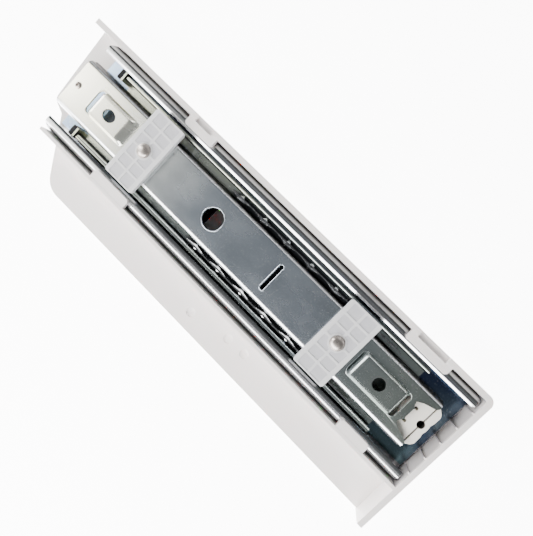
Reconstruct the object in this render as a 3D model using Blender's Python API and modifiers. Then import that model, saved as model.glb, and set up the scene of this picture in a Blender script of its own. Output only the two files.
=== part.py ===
"""Ball-bearing drawer slide lying on its back in the moulded cover that it is clipped into.

+X is the direction in which the slide opens, +Y runs across it towards the cover's skirt,
and +Z points away from the wall that the cover's flat back rests on. All sizes are in metres.
"""

import math

import bmesh
import bpy
from mathutils import Matrix, Vector

# Driving dimensions -------------------------------------------------------------------

CLEARANCE = 0.0003          # gap kept between pieces that touch
SHEET = 0.0016              # steel of the three members

SLIDE_LENGTH = 0.350        # outer member, end to end
SLIDE_WIDTH = 0.0792        # outer member, flange to flange
OUTER_LIP = 0.0084          # how far a lip reaches in from the flange
LIP_CORNER = 0.0046         # outer radius of the rolled corner over the ball race
FOOT_CORNER = 0.0026
LIP_TAPER_LENGTH = 0.0048   # taper at the front tip of each lip
LIP_TAPER_WIDTH = 0.0035
WEB_FRONT_SETBACK = 0.0024  # the outer web stops short of the lips' tips

OUTER_BALL = 0.0060         # ball diameters
OUTER_BALL_FLOOR = 0.0030   # outer web to the underside of the balls
OUTER_BALL_HEADROOM = 0.0022
OUTER_BALL_PITCH = 0.022
OUTER_BALLS = 6
OUTER_FIRST_BALL = 0.070    # front ball, from the slide's middle
INNER_BALL = 0.0048
INNER_BALL_FLOOR = 0.0041   # middle web to the underside of the balls
INNER_BALL_PITCH = 0.0224
INNER_BALLS = 6
INNER_FIRST_BALL = 0.029
CAGE_SHEET = 0.0008
CAGE_RIM = 0.0009           # metal above and below a ball's hole
CAGE_END = 0.008            # ball centre to the cage's front end
INNER_CAGE_TAIL = 0.0370    # and to the inner cage's rear end

MIDDLE_FRONT_SETBACK = 0.0257
MIDDLE_REAR_SETBACK = 0.0342
MIDDLE_WEB_GAP = 0.0005     # under the middle member's web
MIDDLE_STEP = 0.0051        # outer race face to inner race face
MIDDLE_SHELF_DROP = 0.0009  # the step between the races, below the inner balls' centres
MIDDLE_LIP_RISE = 0.0010    # lips over the tops of the inner balls
MIDDLE_LIP = 0.0026
STOP_TAB_REACH = 0.0049     # web's front edge to the tab's front face
STOP_TAB_HEIGHT = 0.0075    # over the middle web
STOP_TAB_WIDTH = 0.0082
BUMPER_THICKNESS = 0.0038
BUMPER_DROP = 0.0008        # bumper's top, below the tab's
BUMPER_EDGE = 0.0004
TAB_INSET = 0.0002          # tab inside the race's face
MIDDLE_BEND = 0.65          # bend radius, in sheet thicknesses

INNER_FRONT_REACH = 0.0007  # how far the inner member stands past the outer one
INNER_REAR_SETBACK = 0.0150
INNER_FOOT_GAP = 0.0015     # flange's foot over the middle web
INNER_RACE_RISE = 0.0015    # the race's top over the balls' centres
INNER_SHOULDER_RISE = 0.0015
INNER_WEB_RISE = 0.00565    # shoulder to the top of the web
INNER_FLARE = 0.00115       # the race stands out past the flange above it
INNER_CORNER = 0.0030

BLOCK_LENGTH = 0.0263       # nylon spacer blocks, along the slide
BLOCK_WIDTH = 0.0556
BLOCK_HEIGHT = 0.0037
BLOCK_CORNER = 0.0018
BLOCK_SKIN = 0.0011
BLOCK_END_RIM = 0.0032
BLOCK_SIDE_RIM = 0.0011
BLOCK_RIB = 0.0016
BLOCK_CELL = 0.0078
BLOCK_CENTRE_RIB = 0.0018
FRONT_BLOCK_SETBACK = 0.0767
REAR_BLOCK_SETBACK = 0.0750
RIVET_HEAD = 0.0103
RIVET_SHANK = 0.0050
RIVET_DOME = 0.0024
RIVET_RIM = 0.0006
RIVET_TAIL = 0.0009
RIVET_FLARE = 0.0012
EYELET_HEAD = 0.0048
EYELET_SHANK = 0.0028
EYELET_DOME = 0.0009
EYELET_TAIL = 0.0005
EYELET_FLARE = 0.0007
EYELET_SETBACK = 0.0057

PAD_OPENING_WIDTH = 0.0192
PAD_TOP_WIDTH = 0.0172
PAD_RISE = 0.0036
PAD_ROOT = 0.0008           # how far the pad's sides run into the web
FRONT_PAD_HOLE = (0.0109, 0.0089)
REAR_PAD_HOLE = (0.0088, 0.0088)
FRONT_PAD_OPENING = (0.0197, 0.0197)  # from the hole's middle, to the rear and to the front
REAR_PAD_OPENING = (0.0217, 0.0207)
FRONT_PAD_BRIDGE = (0.0135, 0.0135)
REAR_PAD_BRIDGE = (0.0148, 0.0160)
FRONT_PAD_SETBACK = 0.0405
REAR_PAD_SETBACK = 0.0380
ROUND_END_FLAT = 0.0001     # short flat between the two arcs of a round end
ACCESS_HOLE = 0.0165
ACCESS_HOLE_X = 0.0319
CROSS_SLOT_X = -0.0247
CROSS_SLOT = (0.0038, 0.0226)
NOTCH_SHOULDER = 0.00325    # flange face to the notch's mouth
NOTCH_POINTS = (            # from the rear edge, and as a share of the mouth's half width
    (0.0016, 0.842),
    (0.0094, 0.697),
    (0.0133, 0.545),
    (0.0127, 0.424),
    (0.0112, 0.303),
)
WEB_SLOT_X = 0.0336         # slots under the access hole
WEB_SLOT = (0.0104, 0.0240)
WEB_SLOT_MARGIN = 0.0020    # the outer web's slot is this much larger all round

CATCH_GAP = 0.0032          # behind the middle member
CATCH_LENGTH = 0.0216
CATCH_SIDE_GAP = 0.00195
CATCH_HEADROOM = 0.00205
CATCH_HOLE = 0.0056
CATCH_GROOVE = 0.0012
CATCH_CHAMFER = 0.0042      # start of the rear corner, from the rear face
CATCH_SCALLOPS = (          # from the rear face, and as a share of the half width
    (0.0012, 0.864),
    (0.0000, 0.722),
    (0.0001, 0.383),
    (0.0008, 0.222),
    (0.0003, 0.086),
)

BASE_THICKNESS = 0.0025     # moulded cover
TOP_WALL = 0.0041           # upper and rear walls
LOWER_WALL = 0.0024
WALL_GAP = 0.0005           # from a wall to the slide's flange
WALL_CORNER = 0.0055
WALL_END_REACH = 0.0008     # rear wall, past the skirt's edge
BASE_STEP = 0.0002          # base plate, outside the walls
SKIRT_WIDTH = 0.0348        # slide's flange to the skirt's free edge
APRON_LENGTH = 0.0211       # base plate in front of the slide
APRON_SLANT = 0.0050        # how far its front edge leans back across the slide
APRON_CORNER = 0.0060
WALL_SETBACK = 0.0040       # upper wall's front end, behind the base plate's edge
LOWER_WALL_SETBACK = 0.0035
CUT_START = (0.0170, 0.0266)  # where the sloping cut leaves the apron: back from it, across
CUT_LENGTH = 0.0480         # front edge to the cut's meeting with the skirt's edge
CUT_RADIUS = 0.0180
CUT_STEP = 0.0050           # the apron's lower corner, short of the cut
HOOK_THICKNESS = 0.0033
HOOK_REACH = 0.0063         # over the lip, from the flange's face
HOOK_ROOT = 0.0012          # how far a hook runs into its wall
HOOK_CORNER = 0.0016
WALL_OVER_HOOK = 0.0002
RECESS_DEPTH = 0.0024
RECESS_INSET = 0.0051
FRONT_UPPER_HOOK = (0.0940, 0.0260)  # middle, from that end of the slide, and length
REAR_UPPER_HOOK = (0.0448, 0.0345)
FRONT_LOWER_HOOK = (0.0730, 0.0340)
REAR_LOWER_HOOK = (0.0400, 0.0245)
RIB_COUNT = 5
RIB_PITCH = 0.0140
RIB_OFFSET = -0.0006        # middle rib, from the slide's middle line
RIB_THICKNESS = 0.0012
RIB_PROJECTION = 0.0013
RIB_DROP = 0.0004

OVERCUT = 0.0010            # cutters run this far past a face

# Sizes that follow from them -----------------------------------------------------------

HALF_LENGTH = SLIDE_LENGTH / 2
HALF_WIDTH = SLIDE_WIDTH / 2
HALF_SHEET = SHEET / 2

OUTER_WEB_BOTTOM = BASE_THICKNESS + CLEARANCE
OUTER_WEB_TOP = OUTER_WEB_BOTTOM + SHEET
OUTER_BALL_Y = HALF_WIDTH - SHEET - CLEARANCE - OUTER_BALL / 2
OUTER_BALL_Z = OUTER_WEB_TOP + OUTER_BALL_FLOOR + OUTER_BALL / 2
OUTER_TOP = OUTER_BALL_Z + OUTER_BALL / 2 + OUTER_BALL_HEADROOM + SHEET

MIDDLE_FRONT = HALF_LENGTH - MIDDLE_FRONT_SETBACK
MIDDLE_REAR = MIDDLE_REAR_SETBACK - HALF_LENGTH
MIDDLE_WEB_BOTTOM = OUTER_WEB_TOP + MIDDLE_WEB_GAP
MIDDLE_WEB_TOP = MIDDLE_WEB_BOTTOM + SHEET
MIDDLE_OUTER_FACE = OUTER_BALL_Y - OUTER_BALL / 2 - CLEARANCE
MIDDLE_INNER_FACE = MIDDLE_OUTER_FACE - MIDDLE_STEP
INNER_BALL_Y = MIDDLE_INNER_FACE - CLEARANCE - INNER_BALL / 2
INNER_BALL_Z = MIDDLE_WEB_TOP + INNER_BALL_FLOOR + INNER_BALL / 2
MIDDLE_SHELF_TOP = INNER_BALL_Z - MIDDLE_SHELF_DROP
MIDDLE_TOP = INNER_BALL_Z + INNER_BALL / 2 + MIDDLE_LIP_RISE
TAB_FRONT = MIDDLE_FRONT + STOP_TAB_REACH
TAB_TOP = MIDDLE_WEB_TOP + STOP_TAB_HEIGHT

INNER_FRONT = HALF_LENGTH + INNER_FRONT_REACH
INNER_REAR = INNER_REAR_SETBACK - HALF_LENGTH
INNER_FOOT = MIDDLE_WEB_TOP + INNER_FOOT_GAP
INNER_RACE_TOP = INNER_BALL_Z + INNER_RACE_RISE
INNER_SHOULDER = INNER_RACE_TOP + INNER_SHOULDER_RISE
INNER_TOP = INNER_SHOULDER + INNER_WEB_RISE
INNER_WEB_BOTTOM = INNER_TOP - SHEET
INNER_RACE_FACE = INNER_BALL_Y - INNER_BALL / 2 - CLEARANCE
INNER_HALF_WIDTH = INNER_RACE_FACE - INNER_FLARE
NOTCH_MOUTH = INNER_HALF_WIDTH - NOTCH_SHOULDER

BLOCK_BOTTOM = INNER_TOP + CLEARANCE
BLOCK_TOP = BLOCK_BOTTOM + BLOCK_HEIGHT
FRONT_BLOCK_X = INNER_FRONT - FRONT_BLOCK_SETBACK
REAR_BLOCK_X = INNER_REAR + REAR_BLOCK_SETBACK
FRONT_PAD_X = INNER_FRONT - FRONT_PAD_SETBACK
REAR_PAD_X = INNER_REAR + REAR_PAD_SETBACK
EYELET_X = INNER_FRONT - EYELET_SETBACK

CATCH_HALF_WIDTH = INNER_HALF_WIDTH - SHEET - CATCH_SIDE_GAP
CATCH_TOP = INNER_WEB_BOTTOM - CATCH_HEADROOM

RIB_FACE = -HALF_LENGTH - CLEARANCE
REAR_WALL_FACE = RIB_FACE - RIB_PROJECTION
REAR_EDGE = REAR_WALL_FACE - TOP_WALL
FRONT_EDGE = HALF_LENGTH + APRON_LENGTH
WALL_FACE = HALF_WIDTH + WALL_GAP
UPPER_EDGE = -WALL_FACE - TOP_WALL
SKIRT_EDGE = HALF_WIDTH + SKIRT_WIDTH
HOOK_BOTTOM = OUTER_TOP + CLEARANCE
HOOK_TOP = HOOK_BOTTOM + HOOK_THICKNESS
WALL_TOP = HOOK_TOP + WALL_OVER_HOOK

# The part's origin is under the middle of its box; the slide's middle lies off it.
SLIDE_X = -(FRONT_EDGE + REAR_EDGE - BASE_STEP) / 2
SLIDE_Y = -(UPPER_EDGE - BASE_STEP + SKIRT_EDGE + WALL_END_REACH) / 2

SIDES = (("upper", -1), ("lower", 1))


# Scene, collections and materials ------------------------------------------------------

for leftover in list(bpy.data.objects):
    bpy.data.objects.remove(leftover)


def new_collection(name):
    collection = bpy.data.collections.new(name)
    bpy.context.scene.collection.children.link(collection)
    return collection


PARTS = new_collection("drawer_slide")
CUTTERS = new_collection("cutters")

datum = bpy.data.objects.new("slide_datum", None)
datum.location = (SLIDE_X, SLIDE_Y, 0)
PARTS.objects.link(datum)


def finish(name, colour, roughness, metallic=0.0):
    material = bpy.data.materials.new(name)
    material.use_nodes = True
    shader = material.node_tree.nodes["Principled BSDF"]
    shader.inputs["Base Color"].default_value = (*colour, 1)
    shader.inputs["Roughness"].default_value = roughness
    shader.inputs["Metallic"].default_value = metallic
    return material


# Building blocks -----------------------------------------------------------------------


def add_object(name, mesh, collection=PARTS):
    """An object in its collection, hung from the slide's datum."""
    item = bpy.data.objects.new(name, mesh)
    collection.objects.link(item)
    item.parent = datum
    if collection == CUTTERS:
        item.hide_render = True
        item.display_type = "WIRE"
    return item


def adopt_active(name, collection=PARTS):
    """Takes the primitive just added by an operator into a collection."""
    primitive = bpy.context.object
    mesh = primitive.data
    mesh.transform(primitive.matrix_world)
    bpy.data.objects.remove(primitive)
    return add_object(name, mesh, collection)


def box(name, low, high, collection=CUTTERS):
    low, high = Vector(low), Vector(high)
    bpy.ops.mesh.primitive_cube_add(size=1, location=(low + high) / 2)
    bpy.context.object.scale = high - low
    bpy.context.view_layer.update()
    return adopt_active(name, collection)


def post(name, centre, diameter, low, high, sides=24, collection=CUTTERS):
    """An upright round bar between two heights."""
    bpy.ops.mesh.primitive_cylinder_add(
        vertices=sides,
        radius=diameter / 2,
        depth=high - low,
        location=(centre[0], centre[1], (low + high) / 2),
    )
    return adopt_active(name, collection)


def crossbar(name, x, y, z, diameter, length, sides=16):
    """A round bar along Y."""
    bpy.ops.mesh.primitive_cylinder_add(
        vertices=sides,
        radius=diameter / 2,
        depth=length,
        location=(x, y, z),
        rotation=(math.pi / 2, 0, 0),
    )
    return adopt_active(name, CUTTERS)


def bent(points, radii, steps=4):
    """The same path with each inner corner turned into an arc: one radius, or one for each corner."""
    points = [Vector(point) for point in points]
    if not isinstance(radii, (list, tuple)):
        radii = [radii] * (len(points) - 2)
    path = [points[0]]
    for before, corner, after, radius in zip(points, points[1:], points[2:], radii):
        back = (before - corner).normalized()
        ahead = (after - corner).normalized()
        half_angle = back.angle(ahead) / 2
        tangent = radius / math.tan(half_angle)
        centre = corner + (back + ahead).normalized() * (radius / math.sin(half_angle))
        start = corner + back * tangent - centre
        turn = start.rotation_difference(corner + ahead * tangent - centre)
        axis, angle = turn.to_axis_angle()
        for step in range(steps + 1):
            path.append(centre + Matrix.Rotation(angle * step / steps, 3, axis) @ start)
    return path + [points[-1]]


def pressed_sheet(name, path, run, thickness, collection=PARTS):
    """An open path drawn along a straight run, then thickened evenly on both sides."""
    mesh = bpy.data.meshes.new(name)
    shape = bmesh.new()
    row = [shape.verts.new(point) for point in path]
    edges = [shape.edges.new(pair) for pair in zip(row, row[1:])]
    moved = bmesh.ops.extrude_edge_only(shape, edges=edges)["geom"]
    corners = [part for part in moved if isinstance(part, bmesh.types.BMVert)]
    bmesh.ops.translate(shape, verts=corners, vec=run)
    shape.to_mesh(mesh)
    shape.free()
    sheet = add_object(name, mesh, collection)
    solidify = sheet.modifiers.new("sheet", "SOLIDIFY")
    solidify.thickness = thickness
    solidify.offset = 0
    solidify.use_even_offset = True
    return sheet


def mirrored_path(half):
    """Half a section at +Y, from its free end to the web, joined to its mirror image."""
    return [(x, -y, z) for x, y, z in half] + [(x, y, z) for x, y, z in reversed(half)]


def slab(name, outline, low, high, collection=CUTTERS):
    """A flat closed outline, given as (x, y) points, between two heights."""
    curve = bpy.data.curves.new(name, "CURVE")
    curve.dimensions = "2D"
    curve.fill_mode = "BOTH"
    curve.extrude = (high - low) / 2
    spline = curve.splines.new("POLY")
    spline.points.add(len(outline) - 1)
    for point, (x, y) in zip(spline.points, outline):
        point.co = (x, y, 0, 1)
    spline.use_cyclic_u = True
    flat = bpy.data.objects.new(name + "_outline", curve)
    flat.location = (0, 0, (low + high) / 2)
    bpy.context.scene.collection.objects.link(flat)
    bpy.context.view_layer.update()
    evaluated = flat.evaluated_get(bpy.context.evaluated_depsgraph_get())
    mesh = bpy.data.meshes.new_from_object(evaluated)
    mesh.transform(flat.matrix_world)
    bpy.data.objects.remove(flat)
    shape = bmesh.new()
    shape.from_mesh(mesh)
    bmesh.ops.remove_doubles(shape, verts=shape.verts, dist=1e-6)
    bmesh.ops.recalc_face_normals(shape, faces=shape.faces)
    shape.to_mesh(mesh)
    shape.free()
    return add_object(name, mesh, collection)


def rounded_box_outline(x, y, length, width, radius, steps=4):
    """A closed rectangle about (x, y) with round corners."""
    outline = []
    for quarter, (side_x, side_y) in enumerate(((1, 1), (-1, 1), (-1, -1), (1, -1))):
        centre_x = x + side_x * (length / 2 - radius)
        centre_y = y + side_y * (width / 2 - radius)
        for step in range(steps + 1):
            angle = math.pi / 2 * (quarter + step / steps)
            outline.append((centre_x + radius * math.cos(angle), centre_y + radius * math.sin(angle)))
    return outline


def join_with(target, tool, operation):
    """Adds one exact Boolean to the target."""
    boolean = target.modifiers.new(tool.name, "BOOLEAN")
    boolean.operation = operation
    boolean.object = tool
    boolean.solver = "EXACT"


def cut(target, tool):
    join_with(target, tool, "DIFFERENCE")


def fuse(target, tool):
    join_with(target, tool, "UNION")


def turned(name, profile, centre, steps=24):
    """A turned piece on an upright axis: (radius, height) points down its outer side."""
    mesh = bpy.data.meshes.new(name)
    shape = bmesh.new()
    row = [shape.verts.new((radius, 0, height)) for radius, height in profile]
    for pair in zip(row, row[1:]):
        shape.edges.new(pair)
    shape.to_mesh(mesh)
    shape.free()
    piece = add_object(name, mesh)
    piece.location = (*centre, 0)
    screw = piece.modifiers.new("turn", "SCREW")
    screw.angle = math.tau
    screw.steps = steps
    screw.render_steps = steps
    screw.use_merge_vertices = True
    screw.merge_threshold = 1e-6
    return piece


def shade_round(item, material):
    item.data.materials.clear()
    item.data.materials.append(material)
    item.data.shade_smooth()
    item.data.set_sharp_from_angle(angle=math.radians(35))


# Moulded cover -------------------------------------------------------------------------


def cover_outline():
    """Base plate seen from above: round at the upper rear corner, cut off at the front of the skirt."""
    rear = REAR_EDGE - BASE_STEP
    upper = UPPER_EDGE - BASE_STEP
    front_lower = (FRONT_EDGE - APRON_SLANT, CUT_START[1] - CUT_STEP, 0)
    step_in = (FRONT_EDGE - CUT_START[0], CUT_START[1], 0)
    cut_end = (FRONT_EDGE - CUT_LENGTH, SKIRT_EDGE, 0)
    rear_corner = bent([(rear, SKIRT_EDGE, 0), (rear, upper, 0), (FRONT_EDGE, upper, 0)], WALL_CORNER)
    eased = bent([(FRONT_EDGE, upper, 0), front_lower, step_in], APRON_CORNER, 3)
    round_cut = bent([step_in, cut_end, (rear, SKIRT_EDGE, 0)], CUT_RADIUS, 6)
    return [(x, y) for x, y, _ in rear_corner + eased[1:-1] + [step_in] + round_cut[1:-1]]


def add_hook(cover, name, side, middle, length):
    """A hook that reaches over one lip, with the mould's recess behind it on the thick wall."""
    root = side * (WALL_FACE + HOOK_ROOT)
    tip = side * (HALF_WIDTH - HOOK_REACH)
    outline = rounded_box_outline(middle, (root + tip) / 2, length, abs(root - tip), HOOK_CORNER, 2)
    fuse(cover, slab(name, outline, HOOK_BOTTOM, HOOK_TOP))
    if side > 0:
        return
    recess = length - 2 * RECESS_INSET
    cut(
        cover,
        box(
            name + "_recess",
            (middle - recess / 2, UPPER_EDGE - OVERCUT, HOOK_TOP - RECESS_DEPTH),
            (middle + recess / 2, -HALF_WIDTH, WALL_TOP + OVERCUT),
        ),
    )


def make_cover(material):
    cover = slab("cover_housing", cover_outline(), 0, BASE_THICKNESS, PARTS)
    wall_middle = TOP_WALL / 2
    wall_height = WALL_TOP - BASE_THICKNESS / 2
    wall = bent(
        [
            (FRONT_EDGE - WALL_SETBACK, UPPER_EDGE + wall_middle, BASE_THICKNESS / 2),
            (REAR_EDGE + wall_middle, UPPER_EDGE + wall_middle, BASE_THICKNESS / 2),
            (REAR_EDGE + wall_middle, SKIRT_EDGE + WALL_END_REACH, BASE_THICKNESS / 2),
        ],
        WALL_CORNER - wall_middle,
    )
    fuse(cover, pressed_sheet("upper_and_rear_wall", wall, (0, 0, wall_height), TOP_WALL, CUTTERS))
    fuse(
        cover,
        box(
            "lower_wall",
            (REAR_WALL_FACE - wall_middle, WALL_FACE, BASE_THICKNESS / 2),
            (HALF_LENGTH - LOWER_WALL_SETBACK, WALL_FACE + LOWER_WALL, WALL_TOP - WALL_OVER_HOOK / 2),
        ),
    )
    for index in range(RIB_COUNT):
        y = RIB_OFFSET + (index - (RIB_COUNT - 1) / 2) * RIB_PITCH
        fuse(
            cover,
            box(
                f"end_rib_{index + 1}",
                (REAR_WALL_FACE - wall_middle, y - RIB_THICKNESS / 2, BASE_THICKNESS / 2),
                (RIB_FACE, y + RIB_THICKNESS / 2, WALL_TOP - RIB_DROP),
            ),
        )
    hooks = (
        ("front_upper_hook", -1, 1, FRONT_UPPER_HOOK),
        ("rear_upper_hook", -1, -1, REAR_UPPER_HOOK),
        ("front_lower_hook", 1, 1, FRONT_LOWER_HOOK),
        ("rear_lower_hook", 1, -1, REAR_LOWER_HOOK),
    )
    for name, side, end, (setback, length) in hooks:
        add_hook(cover, name, side, end * (HALF_LENGTH - setback), length)
    shade_round(cover, material)


# Outer member and its catch ------------------------------------------------------------


def make_outer_member(material):
    flange = HALF_WIDTH - HALF_SHEET
    lip = OUTER_TOP - HALF_SHEET
    web = OUTER_WEB_BOTTOM + HALF_SHEET
    x = -HALF_LENGTH
    half = bent(
        [(x, HALF_WIDTH - OUTER_LIP, lip), (x, flange, lip), (x, flange, web), (x, 0, web)],
        [LIP_CORNER - HALF_SHEET, FOOT_CORNER - HALF_SHEET],
    )
    member = pressed_sheet("outer_member", mirrored_path(half[:-1]), (SLIDE_LENGTH, 0, 0), SHEET)
    for name, side in SIDES:
        edge = side * (HALF_WIDTH + OVERCUT)
        taper = [
            (HALF_LENGTH + OVERCUT, edge),
            (HALF_LENGTH - LIP_TAPER_LENGTH, edge),
            (HALF_LENGTH + OVERCUT, edge - side * (LIP_TAPER_WIDTH + 2 * OVERCUT)),
        ]
        cut(member, slab(f"{name}_lip_taper", taper, OUTER_BALL_Z, OUTER_TOP + OVERCUT))
    setback = box(
        "web_front_setback",
        (HALF_LENGTH - WEB_FRONT_SETBACK, -HALF_WIDTH + FOOT_CORNER, OUTER_WEB_BOTTOM - OVERCUT),
        (HALF_LENGTH + OVERCUT, HALF_WIDTH - FOOT_CORNER, OUTER_WEB_TOP + OVERCUT),
    )
    cut(member, setback)
    length, width = [size + 2 * WEB_SLOT_MARGIN for size in WEB_SLOT]
    slot = rounded_box_outline(WEB_SLOT_X, 0, length, width, WEB_SLOT_MARGIN)
    cut(member, slab("outer_web_slot", slot, OUTER_WEB_BOTTOM - OVERCUT, OUTER_WEB_TOP + OVERCUT))
    shade_round(member, material)


def catch_outline():
    """Plan of the catch: square at the front, scalloped at the rear."""
    front = MIDDLE_REAR - CATCH_GAP
    rear = front - CATCH_LENGTH
    half = [(front, CATCH_HALF_WIDTH), (rear + CATCH_CHAMFER, CATCH_HALF_WIDTH)]
    half += [(rear + depth, share * CATCH_HALF_WIDTH) for depth, share in CATCH_SCALLOPS]
    return half + [(x, -y) for x, y in reversed(half)]


def make_catch(material):
    catch = slab("rear_catch", catch_outline(), OUTER_WEB_TOP + CLEARANCE, CATCH_TOP, PARTS)
    cut(catch, post("catch_bore", (INNER_REAR, 0), CATCH_HOLE, 0, CATCH_TOP + OVERCUT, 16))
    cut(
        catch,
        box(
            "catch_groove",
            (INNER_REAR - CATCH_GROOVE / 2, -CATCH_HALF_WIDTH - OVERCUT, CATCH_TOP - CATCH_GROOVE),
            (INNER_REAR + CATCH_GROOVE / 2, CATCH_HALF_WIDTH + OVERCUT, CATCH_TOP + OVERCUT),
        ),
    )
    shade_round(catch, material)


# Middle member and its bumpers -----------------------------------------------------------


def tab_edges(side):
    """The two edges across the slide of the stop tab and the bumper on one side."""
    near = MIDDLE_OUTER_FACE - STOP_TAB_WIDTH
    far = MIDDLE_OUTER_FACE - TAB_INSET
    return sorted((side * near, side * far))


def make_middle_member(material):
    lip = MIDDLE_TOP - HALF_SHEET
    inner = MIDDLE_INNER_FACE + HALF_SHEET
    shelf = MIDDLE_SHELF_TOP - HALF_SHEET
    outer = MIDDLE_OUTER_FACE - HALF_SHEET
    web = MIDDLE_WEB_BOTTOM + HALF_SHEET
    x = MIDDLE_REAR
    half = bent(
        [
            (x, MIDDLE_INNER_FACE + MIDDLE_LIP, lip),
            (x, inner, lip),
            (x, inner, shelf),
            (x, outer, shelf),
            (x, outer, web),
            (x, 0, web),
        ],
        MIDDLE_BEND * SHEET,
        3,
    )
    run = (MIDDLE_FRONT - MIDDLE_REAR, 0, 0)
    member = pressed_sheet("middle_member", mirrored_path(half[:-1]), run, SHEET)
    for name, side in SIDES:
        near, far = tab_edges(side)
        ear = box(
            f"{name}_ear",
            (MIDDLE_FRONT - SHEET, near, MIDDLE_WEB_BOTTOM + TAB_INSET / 2),
            (TAB_FRONT - TAB_INSET, far, MIDDLE_WEB_TOP - TAB_INSET / 2),
        )
        fuse(member, ear)
        tab = box(
            f"{name}_stop_tab",
            (TAB_FRONT - SHEET, near, MIDDLE_WEB_BOTTOM + TAB_INSET),
            (TAB_FRONT, far, TAB_TOP),
        )
        fuse(member, tab)
    slot = rounded_box_outline(WEB_SLOT_X, 0, *WEB_SLOT, WEB_SLOT_MARGIN / 2, 2)
    cut(member, slab("middle_web_slot", slot, MIDDLE_WEB_BOTTOM - OVERCUT, MIDDLE_WEB_TOP + OVERCUT))
    shade_round(member, material)


def make_bumper(name, side, material):
    """A rubber block that sits on the front face of a stop tab."""
    rear = TAB_FRONT + CLEARANCE
    near, far = tab_edges(side)
    bumper = box(
        f"front_bumper_{name}",
        (rear, near, MIDDLE_WEB_BOTTOM),
        (rear + BUMPER_THICKNESS, far, TAB_TOP - BUMPER_DROP),
        PARTS,
    )
    bevel = bumper.modifiers.new("soft_edges", "BEVEL")
    bevel.width = BUMPER_EDGE
    bevel.segments = 2
    shade_round(bumper, material)


# Inner member --------------------------------------------------------------------------


def add_pad(member, name, x, hole, opening_reach, bridge_reach):
    """A bridge pressed up out of the web: open at both ends, its sides sloping into the web."""
    above, below = INNER_TOP + OVERCUT, INNER_WEB_BOTTOM - OVERCUT
    middle = x + (opening_reach[1] - opening_reach[0]) / 2
    opening = rounded_box_outline(middle, 0, sum(opening_reach), PAD_OPENING_WIDTH, 2 * SHEET, 3)
    cut(member, slab(f"{name}_opening", opening, below, above))
    low = INNER_TOP - HALF_SHEET
    high = low + PAD_RISE
    rear = x - bridge_reach[0]
    root = PAD_OPENING_WIDTH / 2 + PAD_ROOT
    half_top = PAD_TOP_WIDTH / 2
    corners = [(rear, -root, low), (rear, -half_top, high), (rear, half_top, high), (rear, root, low)]
    section = bent(corners, SHEET, 3)
    fuse(member, pressed_sheet(f"{name}_bridge", section, (sum(bridge_reach), 0, 0), SHEET, CUTTERS))
    outline = rounded_box_outline(x, 0, *hole, hole[1] / 2 - ROUND_END_FLAT, 6)
    cut(member, slab(f"{name}_hole", outline, above, high + SHEET))


def notch_outline():
    """Fishtail notch in the rear edge of the web."""
    half = [(INNER_REAR - OVERCUT, NOTCH_MOUTH)]
    half += [(INNER_REAR + depth, share * NOTCH_MOUTH) for depth, share in NOTCH_POINTS]
    return half + [(x, -y) for x, y in reversed(half)]


def make_inner_member(material):
    web = INNER_TOP - HALF_SHEET
    flange = INNER_HALF_WIDTH - HALF_SHEET
    race = INNER_RACE_FACE - HALF_SHEET
    x = INNER_REAR
    half = bent(
        [
            (x, race, INNER_FOOT),
            (x, race, INNER_RACE_TOP),
            (x, flange, INNER_SHOULDER),
            (x, flange, web),
            (x, 0, web),
        ],
        [SHEET, SHEET, INNER_CORNER - HALF_SHEET],
        3,
    )
    run = (INNER_FRONT - INNER_REAR, 0, 0)
    member = pressed_sheet("inner_member", mirrored_path(half[:-1]), run, SHEET)
    above, below = INNER_TOP + OVERCUT, INNER_WEB_BOTTOM - OVERCUT
    add_pad(member, "front_pad", FRONT_PAD_X, FRONT_PAD_HOLE, FRONT_PAD_OPENING, FRONT_PAD_BRIDGE)
    add_pad(member, "rear_pad", REAR_PAD_X, REAR_PAD_HOLE, REAR_PAD_OPENING, REAR_PAD_BRIDGE)
    cut(member, post("access_hole", (ACCESS_HOLE_X, 0), ACCESS_HOLE, below, above, 32))
    slot = rounded_box_outline(CROSS_SLOT_X, 0, *CROSS_SLOT, CROSS_SLOT[0] / 2 - ROUND_END_FLAT, 4)
    cut(member, slab("cross_slot", slot, below, above))
    cut(member, slab("rear_notch", notch_outline(), below, above))
    for name, place in (("front", FRONT_BLOCK_X), ("rear", REAR_BLOCK_X)):
        cut(member, post(f"{name}_rivet_hole", (place, 0), RIVET_SHANK + 2 * CLEARANCE, below, above, 20))
    cut(member, post("eyelet_hole", (EYELET_X, 0), EYELET_SHANK + 2 * CLEARANCE, below, above, 16))
    shade_round(member, material)


# Spacer blocks, rivets and eyelet ------------------------------------------------------


def make_block(name, x, material):
    """A nylon block that is hollow underneath: cells in two columns beside a solid middle."""
    outline = rounded_box_outline(x, 0, BLOCK_LENGTH, BLOCK_WIDTH, BLOCK_CORNER)
    block = slab(name, outline, BLOCK_BOTTOM, BLOCK_TOP, PARTS)
    cell_length = (BLOCK_LENGTH - BLOCK_CENTRE_RIB) / 2 - BLOCK_END_RIM
    for column in (-1, 1):
        cell_x = x + column * (BLOCK_CENTRE_RIB + cell_length) / 2
        for side in (-1, 1):
            for row in range(2):
                out = BLOCK_WIDTH / 2 - BLOCK_SIDE_RIM - row * (BLOCK_CELL + BLOCK_RIB)
                cell_y = side * (out - BLOCK_CELL / 2)
                cell = box(
                    f"{name}_cell_{column}_{side}_{row}",
                    (cell_x - cell_length / 2, cell_y - BLOCK_CELL / 2, BLOCK_BOTTOM - OVERCUT),
                    (cell_x + cell_length / 2, cell_y + BLOCK_CELL / 2, BLOCK_TOP - BLOCK_SKIN),
                )
                cut(block, cell)
    hole = RIVET_SHANK + 2 * CLEARANCE
    bore = post(f"{name}_bore", (x, 0), hole, BLOCK_BOTTOM - OVERCUT, BLOCK_TOP + OVERCUT, 20)
    cut(block, bore)
    shade_round(block, material)


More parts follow.
